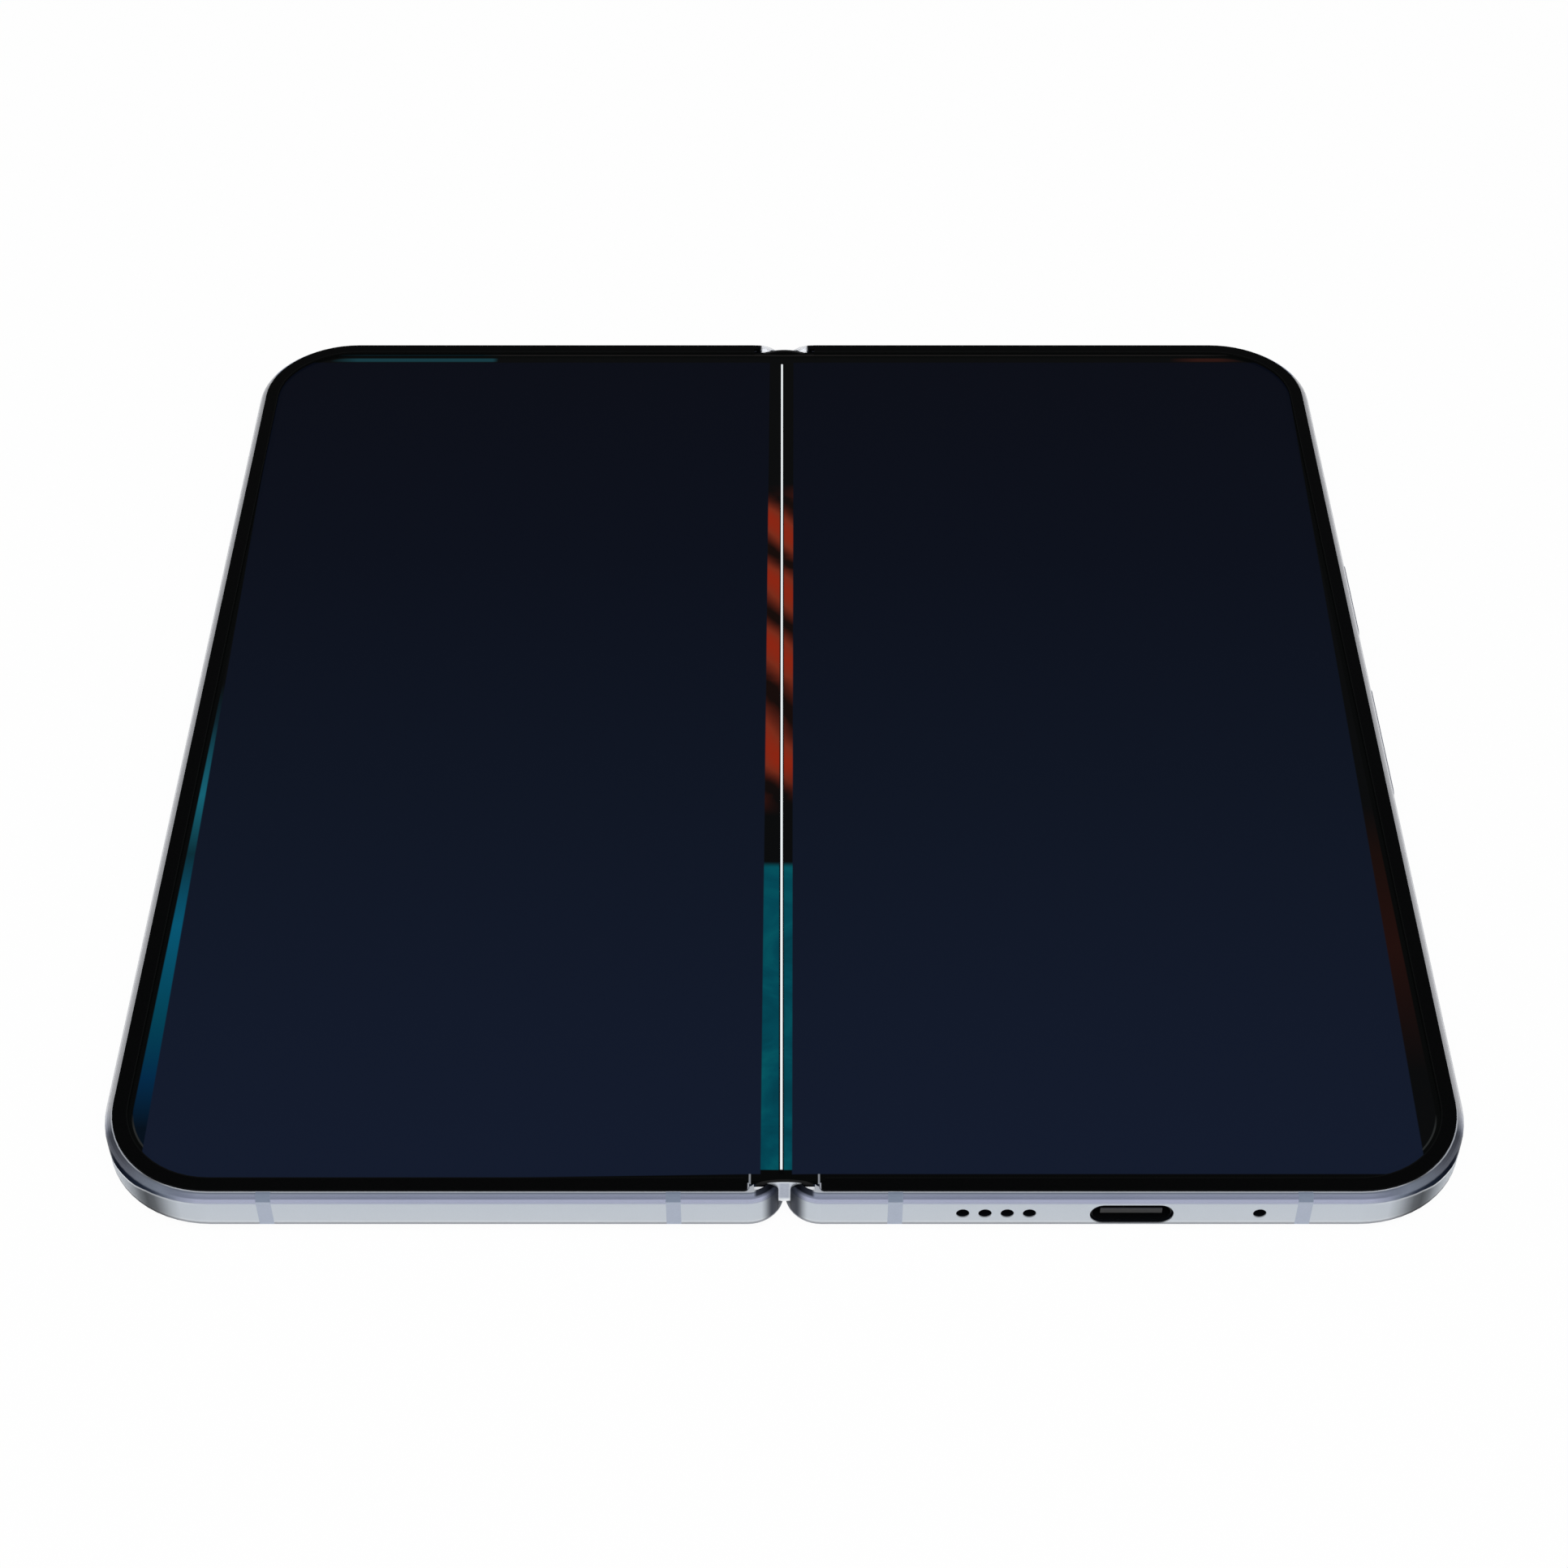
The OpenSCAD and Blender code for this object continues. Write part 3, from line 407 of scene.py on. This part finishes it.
def bezel_plastic():
    """Black bezel whose near fold ends catch a thin line of light."""
    look = Look("bezel_plastic", Specular_IOR_Level=0.03)
    fine = look.noise(5200, 4, 0.6)
    col = look.ramp(fine, [(0.3, rgb(3, 4, 4)), (0.7, rgb(6, 6, 7))])
    at = Place(look)
    # Painted faint highlight on the bezel's inner edge
    inner = look.times(look.below(at.far, 10.47, 0.03), look.above(at.z, 6.0))
    col = look.mix(inner, col, rgb(12, 13, 13))
    # Painted highlight: a pale line on the bezel's near ends by the fold
    end = look.times(look.below(at.x, BEZEL_END + 0.16, 0.03), look.above(at.z, BEZEL_FOOT),
                     look.below(at.back, 0, 1))
    col = look.mix(end, col, rgb(158, 162, 170))
    look.to("Base Color", col)
    look.to("Roughness", look.span(fine, 0.3, 0.7, 0.36, 0.48))
    look.bump(fine, 0.05, 0.00004)
    return look


def lens_rings(look, r, dark, light):
    """Rings of a flash lens, from the distance r in mm to its middle: their wave and their colour."""
    rings = look.math("SINE", look.times(r, 26))
    return rings, look.ramp(look.span(rings, -1, 1), [(0.0, dark), (1.0, light)])


def black_glass():
    """Black glass over the rear cameras, clear over the pale flash lens behind it."""
    look = Look("black_glass", Coat_Weight=0.5, Coat_Roughness=0.05, Specular_IOR_Level=0.4)
    smear = look.noise(90, 4, 0.6)
    col = look.ramp(smear, [(0.3, rgb(11, 12, 15)), (0.7, rgb(16, 17, 21))])
    r = look.away([FLASH])
    lens = lens_rings(look, r, rgb(216, 204, 156), rgb(240, 234, 208))[1]
    look.to("Base Color", look.mix(look.span(r, 1.6, 1.5), col, lens))
    look.to("Roughness", look.span(smear, 0.35, 0.65, 0.1, 0.16))
    return look


def flash_lens():
    """Pale flash lens with fine rings."""
    look = Look("flash_lens", Coat_Weight=0.6, Coat_Roughness=0.05)
    rings, col = lens_rings(look, look.away([FLASH]), rgb(226, 214, 160), rgb(246, 240, 214))
    look.to("Base Color", col)
    look.to("Roughness", look.span(look.noise(1500), 0.3, 0.7, 0.16, 0.26))
    look.bump(rings, 0.4, 0.00005)
    return look


def camera_lens():
    """Rear camera: metal ring, ribbed black cone and a coated front element."""
    look = Look("camera_lens", Coat_Weight=0.4, Coat_Roughness=0.05)
    r = look.away(LENSES)
    grain = look.noise(2600)
    col = look.ramp(look.span(r, 0, 4), [
        (0.0, rgb(16, 12, 30)), (0.12, rgb(34, 30, 74)), (0.2, rgb(22, 44, 86)), (0.28, rgb(44, 22, 60)),
        (0.34, rgb(12, 12, 20)), (0.37, rgb(8, 8, 10)), (0.39, rgb(20, 21, 24)), (0.76, rgb(14, 15, 17)),
        (0.79, rgb(150, 154, 162)), (1.0, rgb(168, 172, 180))])
    look.to("Base Color", look.mix(look.span(grain, 0.3, 0.7, 0.0, 0.25), col, rgb(30, 31, 35)))
    look.to("Metallic", look.span(r, 3.04, 3.16, 0.0, 0.8))
    look.to("Roughness", look.span(r, 1.4, 1.6, 0.08, 0.36))
    cone = look.times(look.span(r, 1.55, 1.7), look.span(r, 3.1, 3.0))
    look.bump(look.times(look.math("SINE", look.times(r, 22)), cone), 0.5, 0.00006)
    return look


def cover_glass():
    """Black glass over the cover screen, a shade lighter where the panel is, with the camera's eye."""
    look = Look("cover_glass", Coat_Weight=0.5, Coat_Roughness=0.05, Specular_IOR_Level=0.4)
    out = look.axes(look.coords())
    x = look.size(look.minus(out["X"], COVER_X * MM))
    y = look.size(out["Y"])
    inside = look.times(look.span(x, 0.0302, 0.0299), look.span(y, 0.0722, 0.0719))
    smear = look.noise(60, 5, 0.6)
    panel = look.ramp(smear, [(0.3, rgb(17, 19, 25)), (0.7, rgb(22, 25, 32))])
    col = look.mix(inside, rgb(10, 11, 13), panel)
    r = look.away([COVER_EYE])
    eye = look.ramp(look.span(r, 0, 2), [(0.0, rgb(12, 10, 22)), (0.3, rgb(24, 34, 66)), (0.5, rgb(8, 8, 12)),
                                         (0.85, rgb(6, 6, 8)), (1.0, rgb(34, 35, 39))])
    look.to("Base Color", look.mix(look.span(r, 2.0, 1.95), col, eye))
    look.to("Roughness", look.span(smear, 0.35, 0.65, 0.08, 0.15))
    return look


def back_glass():
    """Satin etched glass in the frame's colour."""
    look = Look("back_glass", Metallic=0.1, Coat_Weight=0.25, Coat_Roughness=0.3)
    speck = look.noise(9000, 2, 0.5)
    cloud = look.noise(22, 4, 0.5)
    base = look.ramp(cloud, [(0.3, rgb(176, 182, 196)), (0.7, rgb(188, 194, 207))])
    look.to("Base Color", look.mix(look.span(speck, 0.55, 0.75), base, rgb(214, 219, 230)))
    look.to("Roughness", look.span(cloud, 0.3, 0.7, 0.42, 0.5))
    look.bump(speck, 0.08, 0.00003)
    return look


def hinge_metal():
    """Polished hinge cover, brushed along the fold."""
    look = Look("hinge_metal", Metallic=0.6)
    brushed = look.noise(900, 6, 0.6, look.coords((14, 0.6, 14)))
    look.to("Base Color", look.ramp(brushed, [(0.3, rgb(176, 182, 193)), (0.7, rgb(190, 196, 206))]))
    look.to("Roughness", look.span(brushed, 0.3, 0.7, 0.24, 0.36))
    look.bump(brushed, 0.05, 0.00003)
    return look


def cap_metal():
    """End cap of the hinge: metal face with painted highlights on its sides and crown edge and a painted
    white reflection on its rounded foot, and painted shade that makes it black on top and inside.
    """
    look = Look("cap_metal", Metallic=0.55)
    fine = look.noise(6000, 4, 0.6)
    col = look.ramp(fine, [(0.3, rgb(160, 166, 180)), (0.7, rgb(172, 178, 191))])
    at = Place(look)
    # Painted highlights on the face's sides, and a painted white reflection on its rounded foot
    col = look.mix(look.above(at.x, 0.5, 0.1), col, rgb(190, 196, 206))
    col = look.mix(look.below(at.z, 3.4, 0.25), col, rgb(236, 240, 244))
    # The crown is an arc over the fold, so its height is taken at the middle
    crown = look.plus(at.z, look.times(at.x, at.x, 0.0588))
    # Painted highlight along the crown's front edge
    light = look.times(look.above(crown, 6.08, 0.03), look.above(at.y, CAP_FACE_Y - 0.04, 0.03))
    col = look.mix(light, col, rgb(214, 220, 226))
    # Painted shade: the lip's top and the inside are black
    lip = look.times(look.above(crown, 5.7, 0.1), look.above(at.x, 1.75, 0.15))
    col = look.mix(lip, col, rgb(10, 11, 13))
    inside = look.times(look.below(at.y, CAP_FACE_Y - 0.06, 0.03), look.above(at.z, 4.0))
    look.to("Base Color", look.mix(inside, col, rgb(6, 6, 7)))
    look.to("Metallic", look.span(inside, 0, 1, 0.55, 0.0))
    look.to("Roughness", look.span(fine, 0.3, 0.7, 0.28, 0.38))
    look.bump(fine, 0.04, 0.00003)
    return look


def steel(name="steel", colour=rgb(150, 153, 158)):
    """Brushed steel of plates and brackets."""
    return plain(name, colour, 0.34, 0.95, 1400, 0.12, 0.08, 0.1, (8, 1, 8), Anisotropic=0.3)


def bright_steel():
    """Ground steel of shafts, screws and springs."""
    return steel("bright_steel", rgb(190, 192, 196))


def brass():
    """Yellow metal of the gears."""
    return plain("brass", rgb(190, 160, 92), 0.32, 0.95, 2600, 0.12, 0.07, 0.08)


def shell_metal():
    """Dark metal receptacle shell."""
    return plain("shell_metal", rgb(20, 21, 24), 0.36, 0.6, 2600, 0.2, 0.06, 0.06)


def module_black():
    """Black housings of small modules."""
    return plain("module_black", rgb(26, 27, 30), 0.48, 0.1, 1800, 0.18, 0.08, 0.14)


def battery_foil():
    """Dark pouch foil with a faint crinkle."""
    look = Look("battery_foil", Metallic=0.5)
    crinkle = look.noise(260, 6, 0.65, distortion=0.6)
    look.to("Base Color", look.ramp(crinkle, [(0.3, rgb(34, 35, 38)), (0.7, rgb(52, 54, 58))]))
    look.to("Roughness", look.span(crinkle, 0.3, 0.7, 0.35, 0.55))
    look.bump(crinkle, 0.3, 0.0002)
    return look


def circuit_board():
    """Solder mask with traces and small pads."""
    look = Look("circuit_board", Specular_IOR_Level=0.5)
    brick = look.add("TexBrick")
    for key, value in (("Scale", 420), ("Mortar Size", 0.012), ("Color1", rgb(22, 66, 46)),
                       ("Color2", rgb(26, 74, 52)), ("Mortar", rgb(70, 122, 84)), ("Vector", look.coords())):
        look.put(brick.inputs[key], value)
    cell = look.add("TexVoronoi", feature="F1")
    cell.inputs["Scale"].default_value = 650
    look.put(cell.inputs["Vector"], look.coords())
    pads = look.span(cell.outputs["Distance"], 0.16, 0.12)
    look.to("Base Color", look.mix(pads, brick.outputs["Color"], rgb(202, 168, 92)))
    look.to("Metallic", look.times(pads, 0.9))
    look.to("Roughness", look.span(pads, 0, 1, 0.45, 0.28))
    look.bump(pads, 0.3, 0.00005)
    return look


def usb_tongue():
    """Dark tongue with a row of gilt contacts on both faces and a painted highlight along its front edge."""
    look = Look("usb_tongue", Specular_IOR_Level=0.4)
    out = look.axes(look.coords())
    pitch = 0.5 * MM
    u = look.math("DIVIDE", look.minus(out["X"], PORT_X * MM), pitch)
    tooth = look.size(look.minus(look.math("FRACT", look.plus(u, 40.0)), 0.5))
    row = look.times(look.span(tooth, 0.24, 0.3), look.span(look.size(u), 6.1, 6.0))
    pads = look.times(row, look.span(out["Y"], (TONGUE_Y + 0.8) * MM, (TONGUE_Y + 1) * MM))
    grain = look.noise(3000)
    dark = look.ramp(grain, [(0.3, rgb(8, 8, 9)), (0.7, rgb(14, 14, 16))])
    # Painted highlight along the top of the front edge
    edge = look.times(look.span(out["Y"], (TONGUE_Y + 0.2) * MM, (TONGUE_Y + 0.12) * MM),
                      look.span(out["Z"], 3.36 * MM, 3.4 * MM))
    dark = look.mix(edge, dark, rgb(70, 71, 76))
    look.to("Base Color", look.mix(pads, dark, rgb(200, 170, 104)))
    look.to("Metallic", look.times(pads, 0.9))
    look.to("Roughness", look.span(grain, 0.3, 0.7, 0.3, 0.42))
    return look


# ---- Picture on the display, in mm from the middle of the fold ----

LIT_X, LIT_NEAR, LIT_FAR, LIT_R = 71.85, -73.65, 73.85, 8.6
PANE_LEFT, PANE_RIGHT, PANE_NEAR, PANE_FAR = -69.84, 69.45, -74.25, 72.85
DIVIDER_X = -0.33
BEZEL_GLINT_X = 3.74
BLACK = rgb(7, 8, 8)


def wallpaper(look, x, y):
    """Soft abstract bands: rust and teal along the fold, blue at the left edge and brown at the right."""
    spot = look.add("CombineXYZ")
    look.put(spot.inputs[0], x)
    look.put(spot.inputs[1], y)
    ripple = look.noise(0.09, 4, 0.55, spot.outputs[0], 1.2)
    wave = look.add("TexWave", wave_type="BANDS", bands_direction="DIAGONAL")
    for key, value in (("Scale", 0.045), ("Distortion", 5.0), ("Detail", 2.0), ("Detail Scale", 0.5),
                       ("Vector", spot.outputs[0])):
        look.put(wave.inputs[key], value)

    def band(low, high, soft_low, soft_high, under, colour):
        """The colour from low to high along the fold, over what is under it."""
        share = look.times(look.span(y, low - soft_low, low + soft_low, smooth=True),
                           look.span(y, high + soft_high, high - soft_high, smooth=True))
        return look.mix(share, under, colour)

    rust = look.ramp(look.plus(look.times(wave.outputs["Fac"], 0.65), look.times(ripple, 0.35)), [
        (0.18, rgb(20, 9, 6)), (0.36, rgb(78, 27, 16)), (0.6, rgb(118, 42, 24)), (0.85, rgb(136, 36, 16))])
    teal = look.ramp(ripple, [(0.3, rgb(0, 54, 68)), (0.5, rgb(0, 70, 84)), (0.7, rgb(3, 88, 97))])
    middle = band(-15, 42, 5, 3, BLACK, rust)
    middle = band(-90, -28, 1, 0.6, middle, teal)
    left = look.ramp(look.span(y, 4, -68), [
        (0.0, BLACK), (0.1, rgb(12, 36, 46)), (0.28, rgb(20, 96, 114)), (0.42, rgb(8, 44, 54)),
        (0.58, rgb(4, 84, 112)), (0.78, rgb(0, 64, 84)), (0.9, rgb(0, 40, 70)), (1.0, rgb(3, 14, 26))])
    right = look.ramp(look.span(y, -18, -60), [
        (0.0, BLACK), (0.2, rgb(24, 11, 7)), (0.55, rgb(32, 13, 9)), (1.0, BLACK)])
    pic = look.mix(look.span(x, -45, -35), left, middle)
    pic = look.mix(look.span(x, 35, 45), pic, right)
    # Two glows beyond the panes' far edge
    strip = look.above(y, 73.05, 0.15)
    glow = look.times(look.span(x, -66, -62), look.span(x, -41.6, -42.4), strip)
    pic = look.mix(glow, pic, rgb(21, 58, 66))
    ember = look.times(look.span(x, 56, 60), look.span(x, 67, 63), strip)
    return look.mix(ember, pic, rgb(44, 20, 15))


def lit_area(look, x, y, pic):
    """The picture inside a rounded lit area with a black border, and a mask of that area."""
    middle, half = (LIT_NEAR + LIT_FAR) / 2, (LIT_FAR - LIT_NEAR) / 2
    cx = look.most(look.minus(look.size(x), LIT_X - LIT_R), 0.0)
    cy = look.most(look.minus(look.size(look.minus(y, middle)), half - LIT_R), 0.0)
    r = look.length(cx, cy)
    lit = look.below(r, LIT_R, 0.06)
    pic = look.mix(lit, rgb(5, 6, 6), pic)
    # A painted highlight shows faintly on the arcs of its near corners
    arc = look.times(look.span(look.size(look.minus(r, LIT_R + 0.02)), 0.13, 0.06), look.span(cx, 1.5, 3),
                     look.span(y, -66, -68))
    pic = look.mix(arc, pic, rgb(40, 42, 42))
    # A faint painted highlight runs along the far edge
    rear = look.times(look.between(y, 74.52, 74.74, 0.05), look.span(look.size(x), 66.5, 61))
    tone = look.mix(look.span(x, -41, -44), rgb(32, 30, 30), rgb(10, 27, 32))
    return look.mix(rear, pic, tone), lit


def panes(look, x, y, pic):
    """Two dark panes that widen a little towards the near end, with a thin divider between them."""
    navy = look.ramp(look.span(y, 73.0, -74.0), [(0.0, rgb(7, 10, 20)), (0.3, rgb(9, 14, 26)),
                                                 (0.6, rgb(13, 20, 34)), (1.0, rgb(18, 26, 44))])
    slant = look.times(look.plus(y, 75.5), 0.0211)
    inner = look.plus(x, look.span(y, 72.9, -74.2, 0.0, 0.5))
    left = look.times(look.above(look.plus(x, slant), PANE_LEFT, 0.06), look.below(inner, -2.09, 0.06))
    right = look.times(look.below(look.minus(x, slant), PANE_RIGHT, 0.06), look.above(inner, 1.33, 0.06))
    near = look.plus(PANE_NEAR, look.times(look.math("MINIMUM", look.plus(x, 3.0), 0.0), 0.0175))
    rows = look.times(look.above(look.minus(y, near), 0, 0.06), look.below(y, PANE_FAR, 0.05))
    pic = look.mix(look.times(look.plus(left, right), rows), pic, navy)
    off = look.size(look.minus(x, DIVIDER_X))
    pic = look.mix(look.times(look.span(off, 0.34, 0.24), rows), pic, rgb(3, 4, 5))
    line = look.times(look.span(off, 0.15, 0.11), look.between(y, -73.6, 72.5, 0.06))
    return look.mix(line, pic, rgb(236, 241, 243))


def display_picture():
    """The lit display: a soft abstract wallpaper under two dark panes and a thin divider."""
    look = Look("display_picture", Specular_IOR_Level=0.03, Roughness=0.2)
    uv = look.axes(look.add("UVMap", uv_map="Screen").outputs["UV"])
    x = look.minus(look.times(uv[0], 2 * SIDE_X), SIDE_X)
    y = look.minus(look.times(uv[1], 2 * END_Y), END_Y)
    pic, lit = lit_area(look, x, y, wallpaper(look, x, y))
    pic = panes(look, x, y, pic)
    # Painted highlights: pale edge lines beside the near ends of the bezel
    bezel_end_glint = look.size(look.minus(look.size(x), BEZEL_GLINT_X))
    bezel_end_glint = look.times(look.span(bezel_end_glint, 0.13, 0.08), look.span(y, -74.2, -74.3))
    look.to("Emission Color", look.mix(bezel_end_glint, pic, rgb(128, 132, 138)))
    look.to("Emission Strength", 1.0)
    look.to("Base Color", look.mix(lit, rgb(1, 1, 1), rgb(2, 2, 3)))
    return look


# ---- Which node has which look ----

LOOKS = {
    frame_metal: ["left_frame", "right_frame"],
    key_metal: ["power_key", "volume_rocker"],
    break_plastic: ["left_antenna_breaks", "right_antenna_breaks"],
    bezel_plastic: ["left_bezel", "right_bezel"],
    black_glass: ["camera_glass"],
    cover_glass: ["cover_screen_glass"],
    back_glass: ["rear_cover"],
    hinge_metal: ["hinge_cover"],
    cap_metal: ["hinge_cap_near", "hinge_cap_far"],
    shell_metal: ["usb_c_shell"],
    steel: ["hinge_base", "hinge_centre_plate", "left_support_plate", "right_support_plate",
            "left_wing_near", "left_wing_far", "right_wing_near", "right_wing_far",
            "left_magnets", "right_magnets", "vibration_motor", "microphones"],
    bright_steel: ["hinge_screws", "left_wing_screws", "right_wing_screws", "disc_springs",
                   "left_shaft", "right_shaft", "shield_cans"],
    brass: ["left_gear", "right_gear", "left_idler_gear", "right_idler_gear", "key_switches"],
    battery_foil: ["left_battery", "right_battery"],
    circuit_board: ["left_board", "main_board", "port_board"],
    module_black: ["cover_screen_panel", "cover_camera", "earpiece", "loudspeaker"],
    camera_lens: ["camera_main", "camera_wide", "camera_tele"],
    island_metal: ["camera_island"],
    flash_lens: ["flash"],
    usb_tongue: ["usb_c_tongue"],
    display_picture: ["left_display", "right_display", "fold_display"],
}
materials = {make: make().mat for make in LOOKS}
for make, names in LOOKS.items():
    for name in names:
        if not NODES[name].material_slots:
            NODES[name].data.materials.append(None)
        for slot in NODES[name].material_slots:
            slot.material = materials[make]
missed = sorted(set(NODES) - {name for names in LOOKS.values() for name in names})
assert not missed, missed


# ---- The display, with a shallow crease over the fold ----

# The display is two panels and a strip over the fold, which is shorter. Each half is built as one sheet, with
# close columns across the strip's width and a shallow crease.
FOLD_ZONE, STRIP_HALF, DISPLAY_TOP = box("fold_display")[1]
DISPLAY_FLOOR = box("fold_display")[0][2]
PANEL_EDGE, PANEL_HALF = box("right_display")[1][:2]
PANEL_R = 11.4
CREASE_DEPTH, CREASE_HALF = 0.05, 4.0


def display_columns():
    """Columns of one half of the display: (distance from the fold, half length)."""
    cols = [(i * FOLD_ZONE / 32, STRIP_HALF) for i in range(32)]
    cols += [(FOLD_ZONE - 0.01, STRIP_HALF), (FOLD_ZONE + 0.01, PANEL_HALF)]
    straight = PANEL_EDGE - PANEL_R - FOLD_ZONE
    cols += [(FOLD_ZONE + straight * i / 8, PANEL_HALF) for i in range(1, 9)]
    for i in range(1, 17):
        a = math.radians(90 * i / 16)
        cols.append((PANEL_EDGE - PANEL_R * (1 - math.sin(a)), PANEL_HALF - PANEL_R * (1 - math.cos(a))))
    return cols


def crease(x):
    """Depth of the shallow crease over the fold."""
    return CREASE_DEPTH * (0.5 + 0.5 * math.cos(math.pi * min(1.0, x / CREASE_HALF)))


def link(name, mesh):
    """A new object in the scene."""
    obj = bpy.data.objects.new(name, mesh)
    bpy.context.scene.collection.objects.link(obj)
    return obj


def display_half(name, side):
    """One half of the display as a closed sheet, with its picture's coordinates."""
    rows = 16
    bm = bmesh.new()
    uv = bm.loops.layers.uv.new("Screen")
    top, low = [], []
    for x, half in display_columns():
        ys = [-half + 2 * half * j / rows for j in range(rows + 1)]
        top.append([bm.verts.new((side * x * MM, y * MM, (DISPLAY_TOP - crease(x)) * MM)) for y in ys])
        low.append([bm.verts.new((side * x * MM, y * MM, DISPLAY_FLOOR * MM)) for y in ys])

    def quad(a, b, c, d):
        bm.faces.new((a, b, c, d)).smooth = True

    last = len(top) - 1
    for i in range(last):
        for j in range(rows):
            quad(top[i][j], top[i + 1][j], top[i + 1][j + 1], top[i][j + 1])
            quad(low[i][j], low[i][j + 1], low[i + 1][j + 1], low[i + 1][j])
        quad(top[i][0], low[i][0], low[i + 1][0], top[i + 1][0])
        quad(top[i][rows], top[i + 1][rows], low[i + 1][rows], low[i][rows])
    for j in range(rows):
        quad(top[last][j], low[last][j], low[last][j + 1], top[last][j + 1])
    bmesh.ops.recalc_face_normals(bm, faces=bm.faces)
    for face in bm.faces:
        for loop in face.loops:
            p = loop.vert.co
            loop[uv].uv = ((p.x / MM + SIDE_X) / (2 * SIDE_X), (p.y / MM + END_Y) / (2 * END_Y))
    for edge in bm.edges:
        if len(edge.link_faces) == 2 and edge.calc_face_angle() > math.radians(40):
            edge.smooth = False
    mesh = bpy.data.meshes.new(name)
    bm.to_mesh(mesh)
    bm.free()
    # The sheet is open at the fold, so its normals may come out reversed
    if sum(p.area * p.normal.z for p in mesh.polygons if p.center.z > 5.8 * MM) < 0:
        mesh.flip_normals()
    obj = link(name, mesh)
    mesh.materials.append(materials[display_picture])
    return obj


left_screen = display_half("screen_left", -1)
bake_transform(left_screen)
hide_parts("left_display", "fold_display")
right_screen = display_half("screen_right", 1)
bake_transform(right_screen)
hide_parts("right_display")


# ---- Floor, world, lamp and camera ----

# The photo is a square of PHOTO pixels, and the camera was solved from its edges
PHOTO, FOCAL_LENGTH = 1932, 3466.32
CAMERA_PLACE = (-0.00004, -0.26096, 0.24979)
CAMERA_DIP = 44.665
SENSOR = 36


def floor_material():
    """White floor that keeps a light shadow."""
    look = Look("floor", Roughness=0.9, Specular_IOR_Level=0.0)
    look.to("Base Color", (0.96, 0.96, 0.965, 1))
    path = look.add("LightPath").outputs
    seen = look.most(path["Is Camera Ray"], path["Is Glossy Ray"], path["Is Transmission Ray"])
    glow = look.add("Emission")
    glow.inputs["Strength"].default_value = 1.0

    def blend(share, a, b):
        node = look.add("MixShader")
        for socket, value in zip(node.inputs, (share, a, b)):
            look.put(socket, value)
        return node.outputs[0]

    lit = blend(look.times(seen, 0.95), look.bsdf.outputs[0], glow.outputs[0])
    # From below the floor is clear, so that the back of the phone can be seen
    below = look.add("NewGeometry").outputs["Backfacing"]
    lit = blend(below, lit, look.add("BsdfTransparent").outputs[0])
    look.put(look.tree.nodes["Material Output"].inputs["Surface"], lit)
    return look.mat


def make_floor(half=6.0, z=-0.02 * MM):
    """Large plain floor, just under the phone."""
    mesh = bpy.data.meshes.new("floor")
    corners = [(-half, -half, z), (half, -half, z), (half, half, z), (-half, half, z)]
    mesh.from_pydata(corners, [], [(0, 1, 2, 3)])
    mesh.materials.append(floor_material())
    link("floor", mesh)


def make_world():
    """Studio room: pale near the horizon, dimmer above, a little brighter in front."""
    world = bpy.data.worlds.new("studio")
    world.use_nodes = True
    sky = Nodes(world.node_tree)
    way = sky.axes(sky.add("TexCoord").outputs["Generated"])
    height = sky.ramp(way[2], [(0.0, grey(0.92)), (0.1, grey(0.9)), (0.4, grey(0.42)), (1.0, grey(0.36))])
    tilt = sky.span(way[1], 0.2, 0.8, 1.0, 0.45)
    back = sky.tree.nodes["Background"]
    sky.put(back.inputs["Color"], sky.mix(1.0, height, tilt, "MULTIPLY"))
    back.inputs["Strength"].default_value = 1.0
    bpy.context.scene.world = world


def softbox(name, place, target, size, power):
    """Square area lamp that doesn't show in reflections."""
    data = bpy.data.lights.new(name, "AREA")
    data.shape = "SQUARE"
    data.size = size
    data.energy = power
    obj = link(name, data)
    obj.location = place
    obj.rotation_euler = (Vector(target) - Vector(place)).to_track_quat("-Z", "Y").to_euler()
    obj.visible_glossy = False


def make_camera():
    data = bpy.data.cameras.new("camera")
    data.sensor_width = SENSOR
    data.lens = FOCAL_LENGTH * SENSOR / PHOTO
    data.clip_start = 0.01
    data.clip_end = 50
    obj = link("camera", data)
    obj.location = CAMERA_PLACE
    obj.rotation_euler = (math.radians(90 - CAMERA_DIP), 0, 0)
    bpy.context.scene.camera = obj


make_floor()
make_world()
softbox("key", (0.0, -1.3, 2.0), (0, 0, 0), 2.2, 44)
make_camera()
bpy.context.scene.view_settings.view_transform = "Standard"
